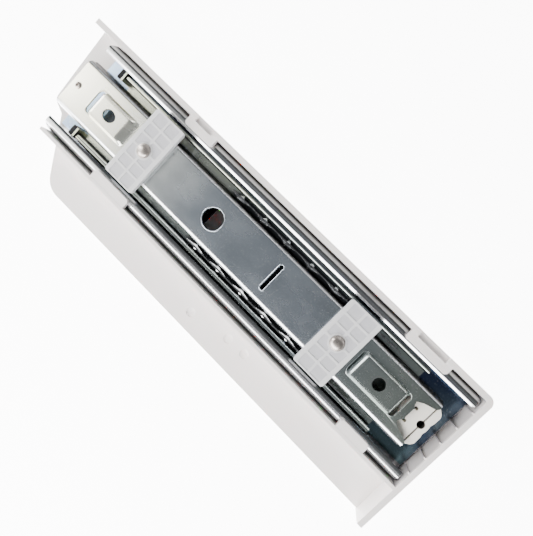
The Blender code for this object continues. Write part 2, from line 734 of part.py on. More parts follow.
def dome(radius, height, base, steps=4):
    """(radius, height) points of a shallow dome, from its top to its rim."""
    points = []
    for step in range(steps + 1):
        angle = math.pi / 2 * step / steps
        points.append((radius * math.sin(angle), base + height * math.cos(angle)))
    return points


def make_rivet(name, x, material):
    """A domed rivet with a thin rim, through a block and the web, spread out underneath."""
    seat = BLOCK_TOP + CLEARANCE
    under = INNER_WEB_BOTTOM - CLEARANCE
    shank = RIVET_SHANK / 2
    profile = dome(RIVET_HEAD / 2 - RIVET_RIM, RIVET_DOME - RIVET_RIM, seat + RIVET_RIM) + [
        (RIVET_HEAD / 2, seat + RIVET_RIM),
        (RIVET_HEAD / 2, seat),
        (shank, seat),
        (shank, under),
        (shank + RIVET_FLARE, under),
        (shank + RIVET_FLARE / 2, under - RIVET_TAIL),
        (0, under - RIVET_TAIL),
    ]
    shade_round(turned(name, profile, (x, 0)), material)


def make_eyelet(material):
    """A small rolled eyelet near the front end of the inner member."""
    seat = INNER_TOP + CLEARANCE
    under = INNER_WEB_BOTTOM - CLEARANCE
    shank = EYELET_SHANK / 2
    profile = dome(EYELET_HEAD / 2, EYELET_DOME, seat, 3) + [
        (shank, seat),
        (shank, under),
        (shank + EYELET_FLARE, under),
        (shank + EYELET_FLARE / 2, under - EYELET_TAIL),
        (0, under - EYELET_TAIL),
    ]
    shade_round(turned("front_eyelet", profile, (EYELET_X, 0), 16), material)


# Balls and their cages -----------------------------------------------------------------


def make_race(name, y, height, ball, pitch, count, first, tail, cage_material, ball_material):
    """One row of balls and the upright strip that keeps them apart, on one side."""
    last = first - pitch * (count - 1)
    hole = ball + 2 * CLEARANCE
    reach = hole / 2 + CAGE_RIM
    cage = box(
        f"{name[0]}_cage_{name[1]}",
        (last - tail, y - CAGE_SHEET / 2, height - reach),
        (first + CAGE_END, y + CAGE_SHEET / 2, height + reach),
        PARTS,
    )
    bpy.ops.mesh.primitive_ico_sphere_add(subdivisions=2, radius=ball / 2)
    seed = bpy.context.object
    sphere = seed.data
    bpy.data.objects.remove(seed)
    for index in range(count):
        x = first - index * pitch
        cut(cage, crossbar(f"{cage.name}_hole_{index + 1}", x, y, height, hole, 4 * CAGE_SHEET))
        item = add_object(f"{name[0]}_ball_{name[1]}_{index + 1}", sphere)
        item.location = (x, y, height)
        shade_round(item, ball_material)
    shade_round(cage, cage_material)


# Assembly ------------------------------------------------------------------------------

zinc = finish("zinc_steel", (0.60, 0.64, 0.68), 0.28, 1.0)
blue_zinc = finish("blue_zinc_steel", (0.45, 0.53, 0.66), 0.25, 1.0)
bright_zinc = finish("bright_zinc_steel", (0.70, 0.71, 0.68), 0.30, 1.0)
ball_steel = finish("ball_steel", (0.75, 0.75, 0.76), 0.12, 1.0)
cage_steel = finish("cage_steel", (0.35, 0.36, 0.38), 0.35, 1.0)
rivet_steel = finish("rivet_steel", (0.66, 0.62, 0.57), 0.25, 1.0)
white_plastic = finish("white_plastic", (0.90, 0.89, 0.87), 0.45)
nylon = finish("natural_nylon", (0.82, 0.83, 0.86), 0.40)
cream_plastic = finish("cream_plastic", (0.86, 0.83, 0.76), 0.50)
black_rubber = finish("black_rubber", (0.02, 0.02, 0.02), 0.60)

make_cover(white_plastic)
make_outer_member(blue_zinc)
make_catch(cream_plastic)
make_middle_member(zinc)
make_inner_member(bright_zinc)
for block_place, block_x in (("front", FRONT_BLOCK_X), ("rear", REAR_BLOCK_X)):
    make_block(f"spacer_block_{block_place}", block_x, nylon)
    make_rivet(f"block_rivet_{block_place}", block_x, rivet_steel)
make_eyelet(rivet_steel)
for side_name, side_sign in SIDES:
    make_bumper(side_name, side_sign, black_rubber)
    make_race(
        ("outer", side_name),
        side_sign * OUTER_BALL_Y,
        OUTER_BALL_Z,
        OUTER_BALL,
        OUTER_BALL_PITCH,
        OUTER_BALLS,
        OUTER_FIRST_BALL,
        CAGE_END,
        cage_steel,
        ball_steel,
    )
    make_race(
        ("inner", side_name),
        side_sign * INNER_BALL_Y,
        INNER_BALL_Z,
        INNER_BALL,
        INNER_BALL_PITCH,
        INNER_BALLS,
        INNER_FIRST_BALL,
        INNER_CAGE_TAIL,
        cage_steel,
        ball_steel,
    )
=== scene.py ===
"""Looks of a telescopic ball-bearing drawer slide in its moulded side cover."""

import math

import bmesh
import bpy
from mathutils import Matrix, Vector


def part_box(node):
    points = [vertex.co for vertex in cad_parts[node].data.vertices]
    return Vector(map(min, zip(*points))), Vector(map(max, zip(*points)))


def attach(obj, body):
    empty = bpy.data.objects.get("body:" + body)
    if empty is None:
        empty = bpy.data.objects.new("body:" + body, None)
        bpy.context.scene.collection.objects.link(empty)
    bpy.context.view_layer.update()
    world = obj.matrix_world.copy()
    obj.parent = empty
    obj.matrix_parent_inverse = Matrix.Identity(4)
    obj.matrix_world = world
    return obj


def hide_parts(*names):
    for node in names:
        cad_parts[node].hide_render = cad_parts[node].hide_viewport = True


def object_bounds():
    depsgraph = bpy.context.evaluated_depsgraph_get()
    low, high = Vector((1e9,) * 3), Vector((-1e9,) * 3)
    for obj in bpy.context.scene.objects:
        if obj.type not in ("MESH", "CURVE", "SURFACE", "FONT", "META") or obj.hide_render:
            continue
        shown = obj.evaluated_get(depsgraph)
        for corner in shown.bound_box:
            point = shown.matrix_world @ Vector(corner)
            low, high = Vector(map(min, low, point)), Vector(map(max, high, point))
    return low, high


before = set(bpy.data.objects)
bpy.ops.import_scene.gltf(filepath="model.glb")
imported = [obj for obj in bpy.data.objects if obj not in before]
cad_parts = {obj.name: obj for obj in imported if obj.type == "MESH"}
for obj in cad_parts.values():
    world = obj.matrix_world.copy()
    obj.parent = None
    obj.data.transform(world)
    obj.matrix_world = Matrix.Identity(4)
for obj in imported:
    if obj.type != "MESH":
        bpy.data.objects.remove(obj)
cad_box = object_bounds()

# Studio ---------------------------------------------------------------------------------
# A seamless pale table, a camera that looks down on the slide from close above, and wide
# soft lamps. The lamp in front of the slide is the one that the bright front end mirrors.

CAMERA_PLACE = Vector((-0.0560, -0.0482, 0.3226))
CAMERA_TARGET = Vector((-0.0228, -0.0162, 0.0))
CAMERA_ROLL = math.radians(89.45)
CAMERA_LENS = 30.52
CAMERA_SHIFT = (-0.0014, -0.0024)
TABLE_DROP = 0.0003
TABLE_SIZE = 6.0
ROOM_COLOUR = (0.95, 0.98, 1.0, 1.0)
ROOM_GLOW = 0.27
TABLE_GLOW = 9.0            # the table is lit from below, so that it stays white


def aim(thing, place, target):
    """Puts a lamp or a camera at a place, looking at a target."""
    turn = (target - place).to_track_quat("-Z", "Y").to_matrix().to_4x4()
    thing.matrix_world = Matrix.Translation(place) @ turn


def add_lamp(name, place, target, size, watts, colour):
    lamp = bpy.data.lights.new(name, "AREA")
    lamp.shape = "RECTANGLE"
    lamp.size, lamp.size_y = size
    lamp.energy = watts
    lamp.color = colour
    holder = bpy.data.objects.new(name, lamp)
    bpy.context.scene.collection.objects.link(holder)
    aim(holder, Vector(place), Vector(target))


camera = bpy.data.objects.new("view", bpy.data.cameras.new("view"))
bpy.context.scene.collection.objects.link(camera)
aim(camera, CAMERA_PLACE, CAMERA_TARGET)
camera.matrix_world = camera.matrix_world @ Matrix.Rotation(-CAMERA_ROLL, 4, "Z")
camera.data.lens = CAMERA_LENS
camera.data.shift_x, camera.data.shift_y = CAMERA_SHIFT
camera.data.clip_start = 0.01
bpy.context.scene.camera = camera

world = bpy.context.scene.world or bpy.data.worlds.new("studio")
bpy.context.scene.world = world
world.use_nodes = True
world.node_tree.nodes["Background"].inputs["Color"].default_value = ROOM_COLOUR
world.node_tree.nodes["Background"].inputs["Strength"].default_value = ROOM_GLOW

add_lamp("front_softbox", (0.86, 0.20, 0.70), (0.05, 0.0, 0.0), (0.60, 0.80), 3.6, (1.0, 0.985, 0.93))
add_lamp("skirt_softbox", (0.0, 0.80, 0.62), (0.0, 0.0, 0.0), (1.8, 0.72), 48.0, (1.0, 0.99, 0.98))
add_lamp("low_front_softbox", (1.10, 0.05, 0.40), (0.0, 0.0, 0.0), (0.26, 1.20), 15.0, (1.0, 0.99, 0.98))
add_lamp("wall_strip", (0.0, -0.80, 0.75), (0.0, 0.0, 0.0), (1.8, 0.05), 1.6, (0.97, 0.98, 1.0))

table_mesh = bpy.data.meshes.new("table")
sheet_of_table = bmesh.new()
bmesh.ops.create_grid(sheet_of_table, x_segments=8, y_segments=8, size=TABLE_SIZE / 2)
sheet_of_table.to_mesh(table_mesh)
sheet_of_table.free()
table = bpy.data.objects.new("table", table_mesh)
table.location.z = cad_box[0].z - TABLE_DROP
bpy.context.scene.collection.objects.link(table)
table_finish = bpy.data.materials.new("table_paper")
table_finish.use_nodes = True
table_shader = table_finish.node_tree.nodes["Principled BSDF"]
table_shader.inputs["Base Color"].default_value = (0.97, 0.97, 0.97, 1.0)
table_shader.inputs["Roughness"].default_value = 0.9
table_shader.inputs["Emission Color"].default_value = (1.0, 1.0, 1.0, 1.0)
table_shader.inputs["Emission Strength"].default_value = TABLE_GLOW
table_shader.inputs["Specular IOR Level"].default_value = 0.1
table_mesh.materials.append(table_finish)

# Cover housing --------------------------------------------------------------------------
# Injection-moulded white plastic: a base plate with a wall along the top and the rear, a
# lower wall, a broad skirt, ribs that stop the slide and hooks that snap over its lips.

cover_low, cover_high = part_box("cover_housing")
outer_low, outer_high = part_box("outer_member")
CENTRE_X = (outer_low.x + outer_high.x) / 2
CENTRE_Y = (outer_low.y + outer_high.y) / 2
HALF_LENGTH = (outer_high.x - outer_low.x) / 2
HALF_WIDTH = (outer_high.y - outer_low.y) / 2
UPPER, LOWER = -1, 1
SIDES = (("upper", UPPER), ("lower", LOWER))

PLATE = 0.0025
THICK_WALL = 0.0041
THIN_WALL = 0.0024
WALL_TOP = cover_high.z
WALL_FACE = HALF_WIDTH + 0.0005
WALL_CORNER = 0.0055
REAR = cover_low.x - CENTRE_X
FRONT = cover_high.x - CENTRE_X
TOP_EDGE = cover_low.y - CENTRE_Y
SKIRT_EDGE = cover_high.y - CENTRE_Y - 0.0008
WALL_INSET = 0.0002         # walls stand this far inside the plate's edge
APRON_SLANT = 0.0050
UPPER_WALL_END = FRONT - 0.0040
LOWER_WALL_END = HALF_LENGTH - 0.0035
HOOK_BOTTOM = outer_high.z + 0.0003
HOOK_THICKNESS = 0.0033
HOOK_TIP = HALF_WIDTH - 0.0063
HOOK_CHAMFER = 0.0016
HOOKS = (                   # side, middle and length
    (UPPER, 0.0810, 0.0260),
    (UPPER, -0.1302, 0.0345),
    (LOWER, 0.1020, 0.0340),
    (LOWER, -0.1350, 0.0245),
)
RECESS_INSET = 0.0051
RECESS_DEPTH = 0.0024
RIB_PITCH = 0.0140
RIB_MIDDLE = -0.0006
RIB_FOOT, RIB_HEAD = 0.0014, 0.0010
SINK_MARKS = ((-0.0314, 0.0560), (-0.0475, 0.0555), (0.0015, 0.0620))
SINK_RADIUS = 0.0036
SINK_DEPTH = 0.0009
MOULDED_EDGE = 0.0004


def arcs(points, radii, steps=8):
    """An open outline of 2D points with each inner corner turned into an arc."""
    points = [Vector(point) for point in points]
    if not isinstance(radii, (list, tuple)):
        radii = [radii] * (len(points) - 2)
    path = [points[0]]
    for before, corner, after, radius in zip(points, points[1:], points[2:], radii):
        back = (before - corner).normalized()
        ahead = (after - corner).normalized()
        half_angle = back.angle(ahead) / 2
        reach = radius / math.tan(half_angle)
        middle = corner + (back + ahead).normalized() * (radius / math.sin(half_angle))
        start = corner + back * reach - middle
        sweep = start.angle_signed(corner + ahead * reach - middle)
        for step in range(steps + 1):
            path.append(middle + Matrix.Rotation(-sweep * step / steps, 2) @ start)
    return path + [points[-1]]


def closed_arcs(points, radius, steps=8):
    """A closed outline with all its corners turned into arcs."""
    points = [Vector(point) for point in points]
    ring = [points[-1]] + points + [points[0]]
    return arcs(ring, radius, steps)[1:-1]


def oblong(x, y, length, width, radius, steps=8):
    """A rounded rectangle in plan, from its middle."""
    corners = [(x + a * length / 2, y + b * width / 2) for a, b in ((1, 1), (-1, 1), (-1, -1), (1, -1))]
    return closed_arcs(corners, radius, steps)


def add_solid(name, shape):
    """Turns a bmesh into an object, with its faces pointing out."""
    bmesh.ops.recalc_face_normals(shape, faces=shape.faces[:])
    if shape.calc_volume(signed=True) < 0:
        bmesh.ops.reverse_faces(shape, faces=shape.faces[:])
    mesh = bpy.data.meshes.new(name)
    shape.to_mesh(mesh)
    shape.free()
    piece = bpy.data.objects.new(name, mesh)
    bpy.context.scene.collection.objects.link(piece)
    return piece


def plate_of(name, outline, bottom, top):
    """A flat piece with this outline in plan, in the slide's own place."""
    shape = bmesh.new()
    ring = [shape.verts.new((CENTRE_X + x, CENTRE_Y + y, bottom)) for x, y in outline]
    face = shape.faces.new(ring)
    raised = bmesh.ops.extrude_face_region(shape, geom=[face])["geom"]
    lifted = [item for item in raised if isinstance(item, bmesh.types.BMVert)]
    bmesh.ops.translate(shape, verts=lifted, vec=(0, 0, top - bottom))
    return add_solid(name, shape)


def ribbon(path, thickness):
    """The closed outline of a strip that follows an open path."""
    left, right = [], []
    for index, point in enumerate(path):
        before = path[max(index - 1, 0)]
        after = path[min(index + 1, len(path) - 1)]
        incoming = (point - before).normalized() if index else (after - point).normalized()
        outgoing = (after - point).normalized() if index < len(path) - 1 else incoming
        along = (incoming + outgoing).normalized()
        across = Vector((-along.y, along.x)) * (thickness / 2 / max(along.dot(incoming), 0.5))
        left.append(point + across)
        right.append(point - across)
    return left + right[::-1]


def bake_modifiers(piece):
    """Replaces the piece's mesh with the one that its modifiers make."""
    graph = bpy.context.evaluated_depsgraph_get()
    mesh = bpy.data.meshes.new_from_object(piece.evaluated_get(graph), depsgraph=graph)
    piece.modifiers.clear()
    piece.data = mesh


def work(piece, tools, operation):
    """Cuts tools out of a piece, or welds them to it, and clears them away."""
    for tool in tools:
        step = piece.modifiers.new(tool.name, "BOOLEAN")
        step.operation = operation
        step.object = tool
        bake_modifiers(piece)
        bpy.data.objects.remove(tool)


def ease(piece, width, segments=2, angle=38):
    """Breaks the sharp edges, then shades the piece so that flats stay flat."""
    if width:
        bevel = piece.modifiers.new("broken_edges", "BEVEL")
        bevel.width = width
        bevel.segments = segments
        bevel.angle_limit = math.radians(angle)
        bevel.miter_outer = "MITER_ARC"
        bake_modifiers(piece)
    piece.data.shade_smooth()
    piece.data.set_sharp_from_angle(angle=math.radians(40))
    normals = piece.modifiers.new("flat_faces_stay_flat", "WEIGHTED_NORMAL")
    normals.keep_sharp = True


def fit(piece, finish, body, slot, *nodes):
    """Gives a finished piece its material, its body and the node that it stands for."""
    piece.data.materials.clear()
    piece.data.materials.append(finish)
    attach(piece, body)
    if nodes:
        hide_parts(*nodes)


def add_node(tree, kind, inputs=(), **settings):
    """A shader node with its settings and its unlinked input values."""
    made = tree.nodes.new(kind)
    for name, value in settings.items():
        setattr(made, name, value)
    for name, value in dict(inputs).items():
        made.inputs[name].default_value = value
    return made


def start_finish(name, roughness, metallic=0.0):
    """A new material: its node tree, its shader and coordinates fixed to the piece."""
    finish = bpy.data.materials.new(name)
    finish.use_nodes = True
    tree = finish.node_tree
    shader = tree.nodes["Principled BSDF"]
    shader.inputs["Roughness"].default_value = roughness
    shader.inputs["Metallic"].default_value = metallic
    place = add_node(tree, "ShaderNodeTexCoord")
    return finish, tree, shader, place.outputs["Object"]


def stretched_noise(tree, place, stretch, detail=4.0):
    """Noise over coordinates stretched by a factor along each axis, per metre."""
    mapping = add_node(tree, "ShaderNodeMapping", {"Scale": stretch})
    tree.links.new(place, mapping.inputs["Vector"])
    noise = add_node(tree, "ShaderNodeTexNoise", {"Scale": 1.0, "Detail": detail, "Roughness": 0.55})
    tree.links.new(mapping.outputs["Vector"], noise.inputs["Vector"])
    return noise.outputs["Fac"]


def spread(tree, value, low, high, start=0.3, end=0.7):
    """Maps a noise value from its usual range to another range."""
    mapped = add_node(
        tree, "ShaderNodeMapRange", {"From Min": start, "From Max": end, "To Min": low, "To Max": high}
    )
    tree.links.new(value, mapped.inputs["Value"])
    return mapped.outputs["Result"]


def blend_colours(tree, factor, first, second):
    """Mixes two colours, each a fixed one or another node's output."""
    mix = add_node(tree, "ShaderNodeMix", data_type="RGBA")
    tree.links.new(factor, mix.inputs["Factor"])
    for socket, colour in ((mix.inputs[6], first), (mix.inputs[7], second)):
        if isinstance(colour, tuple):
            socket.default_value = (*colour, 1.0)
        else:
            tree.links.new(colour, socket)
    return mix.outputs[2]


def add_relief(tree, shader, heights):
    """Chains bumps, given as (height, strength, distance), into the shader's normal."""
    normal = None
    for height, strength, distance in heights:
        bump = add_node(tree, "ShaderNodeBump", {"Strength": strength, "Distance": distance})
        tree.links.new(height, bump.inputs["Height"])
        if normal:
            tree.links.new(normal, bump.inputs["Normal"])
        normal = bump.outputs["Normal"]
    tree.links.new(normal, shader.inputs["Normal"])


def moulded_plastic(name, light, dark, roughness, grain=2600.0, pocket_shade=None):
    """Satin moulded plastic: faint flow shades, spark-eroded grain and a slow waviness.

    The pocket shade is (front end, top, colour) of painted shade in the deep pocket at the rear.
    """
    finish, tree, shader, place = start_finish(name, roughness)
    flow = stretched_noise(tree, place, (14.0, 22.0, 22.0), 3.0)
    mottle = stretched_noise(tree, place, (190.0, 190.0, 190.0), 4.0)
    shade = blend_colours(tree, spread(tree, flow, 0.0, 1.0), light, dark)
    speck = tuple(0.965 * value for value in light)
    colour = blend_colours(tree, spread(tree, mottle, 0.0, 0.5), shade, speck)
    # Painted shade: the pocket between the rear wall and the slide's rear end turns darker below the walls' top.
    if pocket_shade:
        pocket_end, pocket_top, dust = pocket_shade
        split = add_node(tree, "ShaderNodeSeparateXYZ")
        tree.links.new(place, split.inputs["Vector"])
        rear_of = spread(tree, split.outputs["X"], 1.0, 0.0, pocket_end, pocket_end + 0.0006)
        inside = spread(tree, split.outputs["X"], 0.0, 1.0, POCKET_WALL - 0.0002, POCKET_WALL + 0.0002)
        under = spread(tree, split.outputs["Z"], 1.0, 0.0, pocket_top - 0.0016, pocket_top)
        slide_side = spread(tree, split.outputs["Y"], 1.0, 0.0, CENTRE_Y + WALL_FACE, CENTRE_Y + WALL_FACE + 0.0006)
        amount = under
        for limit in (rear_of, inside, slide_side):
            product = add_node(tree, "ShaderNodeMath", operation="MULTIPLY")
            tree.links.new(amount, product.inputs[0])
            tree.links.new(limit, product.inputs[1])
            amount = product.outputs["Value"]
        colour = blend_colours(tree, amount, colour, dust)
    tree.links.new(colour, shader.inputs["Base Color"])
    tree.links.new(spread(tree, mottle, roughness - 0.05, roughness + 0.07), shader.inputs["Roughness"])
    shader.inputs["Subsurface Weight"].default_value = 0.06
    shader.inputs["Subsurface Radius"].default_value = (0.004, 0.003, 0.002)
    shader.inputs["Subsurface Scale"].default_value = 0.4
    fine = stretched_noise(tree, place, (grain, grain, grain), 2.0)
    add_relief(tree, shader, [(flow, 0.10, 0.002), (fine, 0.12, 0.00004)])
    return finish


POCKET_WALL = CENTRE_X + REAR + 0.0002 + THICK_WALL
# Colour of the painted shade in the rear pocket, between the ribs.
POCKET_SHADE_COLOUR = (0.30, 0.285, 0.30)
white_plastic = moulded_plastic(
    "white_plastic",
    (0.815, 0.778, 0.762),
    (0.790, 0.752, 0.738),
    0.42,
    pocket_shade=(CENTRE_X - HALF_LENGTH, WALL_TOP - 0.0009, POCKET_SHADE_COLOUR),
)

plan = arcs([(REAR, SKIRT_EDGE), (REAR, TOP_EDGE), (FRONT, TOP_EDGE)], WALL_CORNER)
step_in = Vector((FRONT - 0.0170, 0.0266))
plan += arcs([(FRONT, TOP_EDGE), (FRONT - APRON_SLANT, 0.0216), step_in], 0.006)[1:]
plan += arcs([step_in, (FRONT - 0.0480, SKIRT_EDGE), (REAR, SKIRT_EDGE)], 0.018, 12)[1:-1]
cover = plate_of("cover_shell", plan, cover_low.z, PLATE)

wall_line = arcs(
    [
        (UPPER_WALL_END, TOP_EDGE + WALL_INSET + THICK_WALL / 2),
        (REAR + WALL_INSET + THICK_WALL / 2, TOP_EDGE + WALL_INSET + THICK_WALL / 2),
        (REAR + WALL_INSET + THICK_WALL / 2, cover_high.y - CENTRE_Y),
    ],
    WALL_CORNER - THICK_WALL / 2,
)
REAR_WALL_INSIDE = REAR + WALL_INSET + THICK_WALL
moulded = [plate_of("wall", ribbon(wall_line, THICK_WALL), PLATE / 2, WALL_TOP)]
lower_wall = oblong(
    (REAR_WALL_INSIDE - 0.001 + LOWER_WALL_END) / 2,
    WALL_FACE + THIN_WALL / 2,
    LOWER_WALL_END - REAR_WALL_INSIDE + 0.001,
    THIN_WALL,
    0.0005,
    2,
)
moulded.append(plate_of("lower_wall", lower_wall, PLATE / 2, WALL_TOP - 0.0001))
for rib in range(-2, 3):
    rib_y = RIB_MIDDLE + rib * RIB_PITCH
    fin = plate_of(
        "rib",
        oblong((REAR_WALL_INSIDE - 0.001 - HALF_LENGTH - 0.0003) / 2, rib_y, 0.0026, RIB_FOOT, 0.0003, 2),
        PLATE / 2,
        WALL_TOP - 0.0005,
    )
    for corner in fin.data.vertices:
        if corner.co.z > PLATE:
            corner.co.y += (CENTRE_Y + rib_y - corner.co.y) * (1 - RIB_HEAD / RIB_FOOT)
    moulded.append(fin)
for side, middle, length in HOOKS:
    root = WALL_FACE + 0.0012
    spread_out = length / 2
    outline = [
        (middle - spread_out, side * root),
        (middle - spread_out, side * (HOOK_TIP + HOOK_CHAMFER)),
        (middle - spread_out + HOOK_CHAMFER, side * HOOK_TIP),
        (middle + spread_out - HOOK_CHAMFER, side * HOOK_TIP),
        (middle + spread_out, side * (HOOK_TIP + HOOK_CHAMFER)),
        (middle + spread_out, side * root),
    ]
    moulded.append(plate_of("hook", outline, HOOK_BOTTOM, HOOK_BOTTOM + HOOK_THICKNESS))
work(cover, moulded, "UNION")

pockets = []
for side, middle, length in HOOKS:
    if side == UPPER:
        inner_edge = -HALF_WIDTH + 0.0004
        outer_edge = TOP_EDGE - 0.001
        pocket = oblong(
            middle, (inner_edge + outer_edge) / 2, length - 2 * RECESS_INSET, inner_edge - outer_edge, 0.0005, 2
        )
        pockets.append(plate_of("pocket", pocket, HOOK_BOTTOM + HOOK_THICKNESS - RECESS_DEPTH, WALL_TOP + 0.001))
for x, y in SINK_MARKS:
    lens = bmesh.new()
    bmesh.ops.create_uvsphere(lens, u_segments=24, v_segments=16, radius=SINK_RADIUS)
    bmesh.ops.scale(lens, verts=lens.verts[:], vec=(1, 1, SINK_DEPTH / SINK_RADIUS))
    bmesh.ops.translate(lens, verts=lens.verts[:], vec=(CENTRE_X + x, CENTRE_Y + y, PLATE + 0.00003))
    pockets.append(add_solid("sink_mark", lens))
work(cover, pockets, "DIFFERENCE")
ease(cover, MOULDED_EDGE)
fit(cover, white_plastic, "housing", "white_plastic", "cover_housing")

# Outer member ---------------------------------------------------------------------------
# Roll-formed steel, 1.6 mm thick, zinc plated with a blue passivation: a wide channel whose
# lips turn in over the outer balls. Its front tips are cut back and the rear ones rounded.

SHEET = 0.0016
LIP_CORNER = 0.0052
LIP_CREASE = 0.0068         # the lip is creased this far in, and dips from there
LIP_CREASE_BEND = 0.0012
LIP_DIP = 0.0006
# Painted highlight and shade: lengthwise bands on the lips and flanges that stand in for what they mirror.
LIP_PAINTED_LIGHT = (               # distance from the middle line, grey, and how much of it
    (-0.0396, 0.04, 1.0),
    (0.0396, 0.04, 1.0),
    (-0.0384, 0.05, 1.0),
    (-0.0377, 0.26, 1.0),
    (-0.0357, 0.36, 1.0),
    (-0.0354, 0.14, 1.0),
    (-0.0349, 0.34, 1.0),
    (-0.0328, 0.46, 1.0),
    (-0.0324, 0.96, 1.0),
    (-0.0310, 0.96, 1.0),
    (-0.0308, 0.50, 0.0),
    (0.0308, 0.50, 0.0),
    (0.0310, 0.20, 1.0),
    (0.0332, 0.45, 1.0),
    (0.0338, 0.97, 1.0),
    (0.0374, 0.97, 1.0),
    (0.0378, 0.40, 1.0),
    (0.0381, 0.30, 1.0),
    (0.0385, 0.05, 1.0),
)
LIP_REACH = 0.0084
FOOT_CORNER = 0.0026
LIP_TAPER = (0.0048, 0.0035)
LIP_REAR_ROUND = 0.0022
WEB_SETBACK = 0.0024
WEB_SLOT_X = 0.0336
WEB_SLOT = (0.0144, 0.0280)
STEEL_EDGE = 0.00028
# Colour of the greasy film and of the painted shade under the inner member and in the ball channels.
GREASE_AND_SHADE_COLOUR = (0.045, 0.050, 0.055)


def rolled(name, half, rear, front, thickness, stations=1):
    """A rolled section, given as half a centreline of (y, z), run along the slide."""
    half = [Vector(point) for point in half]
    line = half + [Vector((-point.x, point.y)) for point in reversed(half)]
    section = ribbon(line, thickness)
    shape = bmesh.new()
    ring = [shape.verts.new((CENTRE_X + rear, CENTRE_Y + y, z)) for y, z in section]
    first = shape.faces.new(ring)
    raised = bmesh.ops.extrude_face_region(shape, geom=[first])["geom"]
    moved = [item for item in raised if isinstance(item, bmesh.types.BMVert)]
    bmesh.ops.translate(shape, verts=moved, vec=(front - rear, 0, 0))
    return add_solid(name, shape)


def combine(tree, operation, first, second=None):
    """A Math node between outputs, or between an output and a number."""
    sum_node = add_node(tree, "ShaderNodeMath", operation=operation)
    for socket, value in zip(sum_node.inputs, (first, second)):
        if isinstance(value, float):
            socket.default_value = value
        elif value is not None:
            tree.links.new(value, socket)
    return sum_node.outputs["Value"]


def between(tree, value, low, high, soft):
    """1 between two values and 0 outside them, with soft edges."""
    return combine(
        tree,
        "MULTIPLY",
        spread(tree, value, 0.0, 1.0, low - soft, low + soft),
        spread(tree, value, 1.0, 0.0, high - soft, high + soft),
    )


def grease_and_painted_shade(tree, split, cloud, height, covered, channel):
    """How much greasy film and painted shade lie on a spot, from 0 to 1.

    Covered is (half width, rear end) of what the inner member keeps dark. Channel is (inner
    and outer edge, rear and front end) of the ball race; past its outer edge all is dark.
    """
    below = spread(tree, split.outputs["Z"], 1.0, 0.0, height - 0.0006, height)
    across = combine(tree, "ABSOLUTE", combine(tree, "SUBTRACT", split.outputs["Y"], CENTRE_Y))
    wander = combine(tree, "MULTIPLY_ADD", cloud, 0.030)
    wander.node.inputs[2].default_value = -0.015 - CENTRE_X
    along = combine(tree, "ADD", split.outputs["X"], wander)
    reach, tail = covered
    dark = combine(
        tree,
        "MULTIPLY",
        spread(tree, across, 1.0, 0.0, reach - 0.0006, reach),
        spread(tree, along, 0.0, 1.0, tail - 0.002, tail + 0.002),
    )
    if channel:
        inside, outside, rear, front = channel
        race = combine(
            tree,
            "MULTIPLY",
            between(tree, across, inside, outside, 0.0003),
            between(tree, along, rear, front, 0.004),
        )
        beyond = spread(tree, across, 0.0, 1.0, outside, outside + 0.0004)
        dark = combine(tree, "MAXIMUM", dark, combine(tree, "MAXIMUM", race, beyond))
    return combine(tree, "MULTIPLY", below, dark)


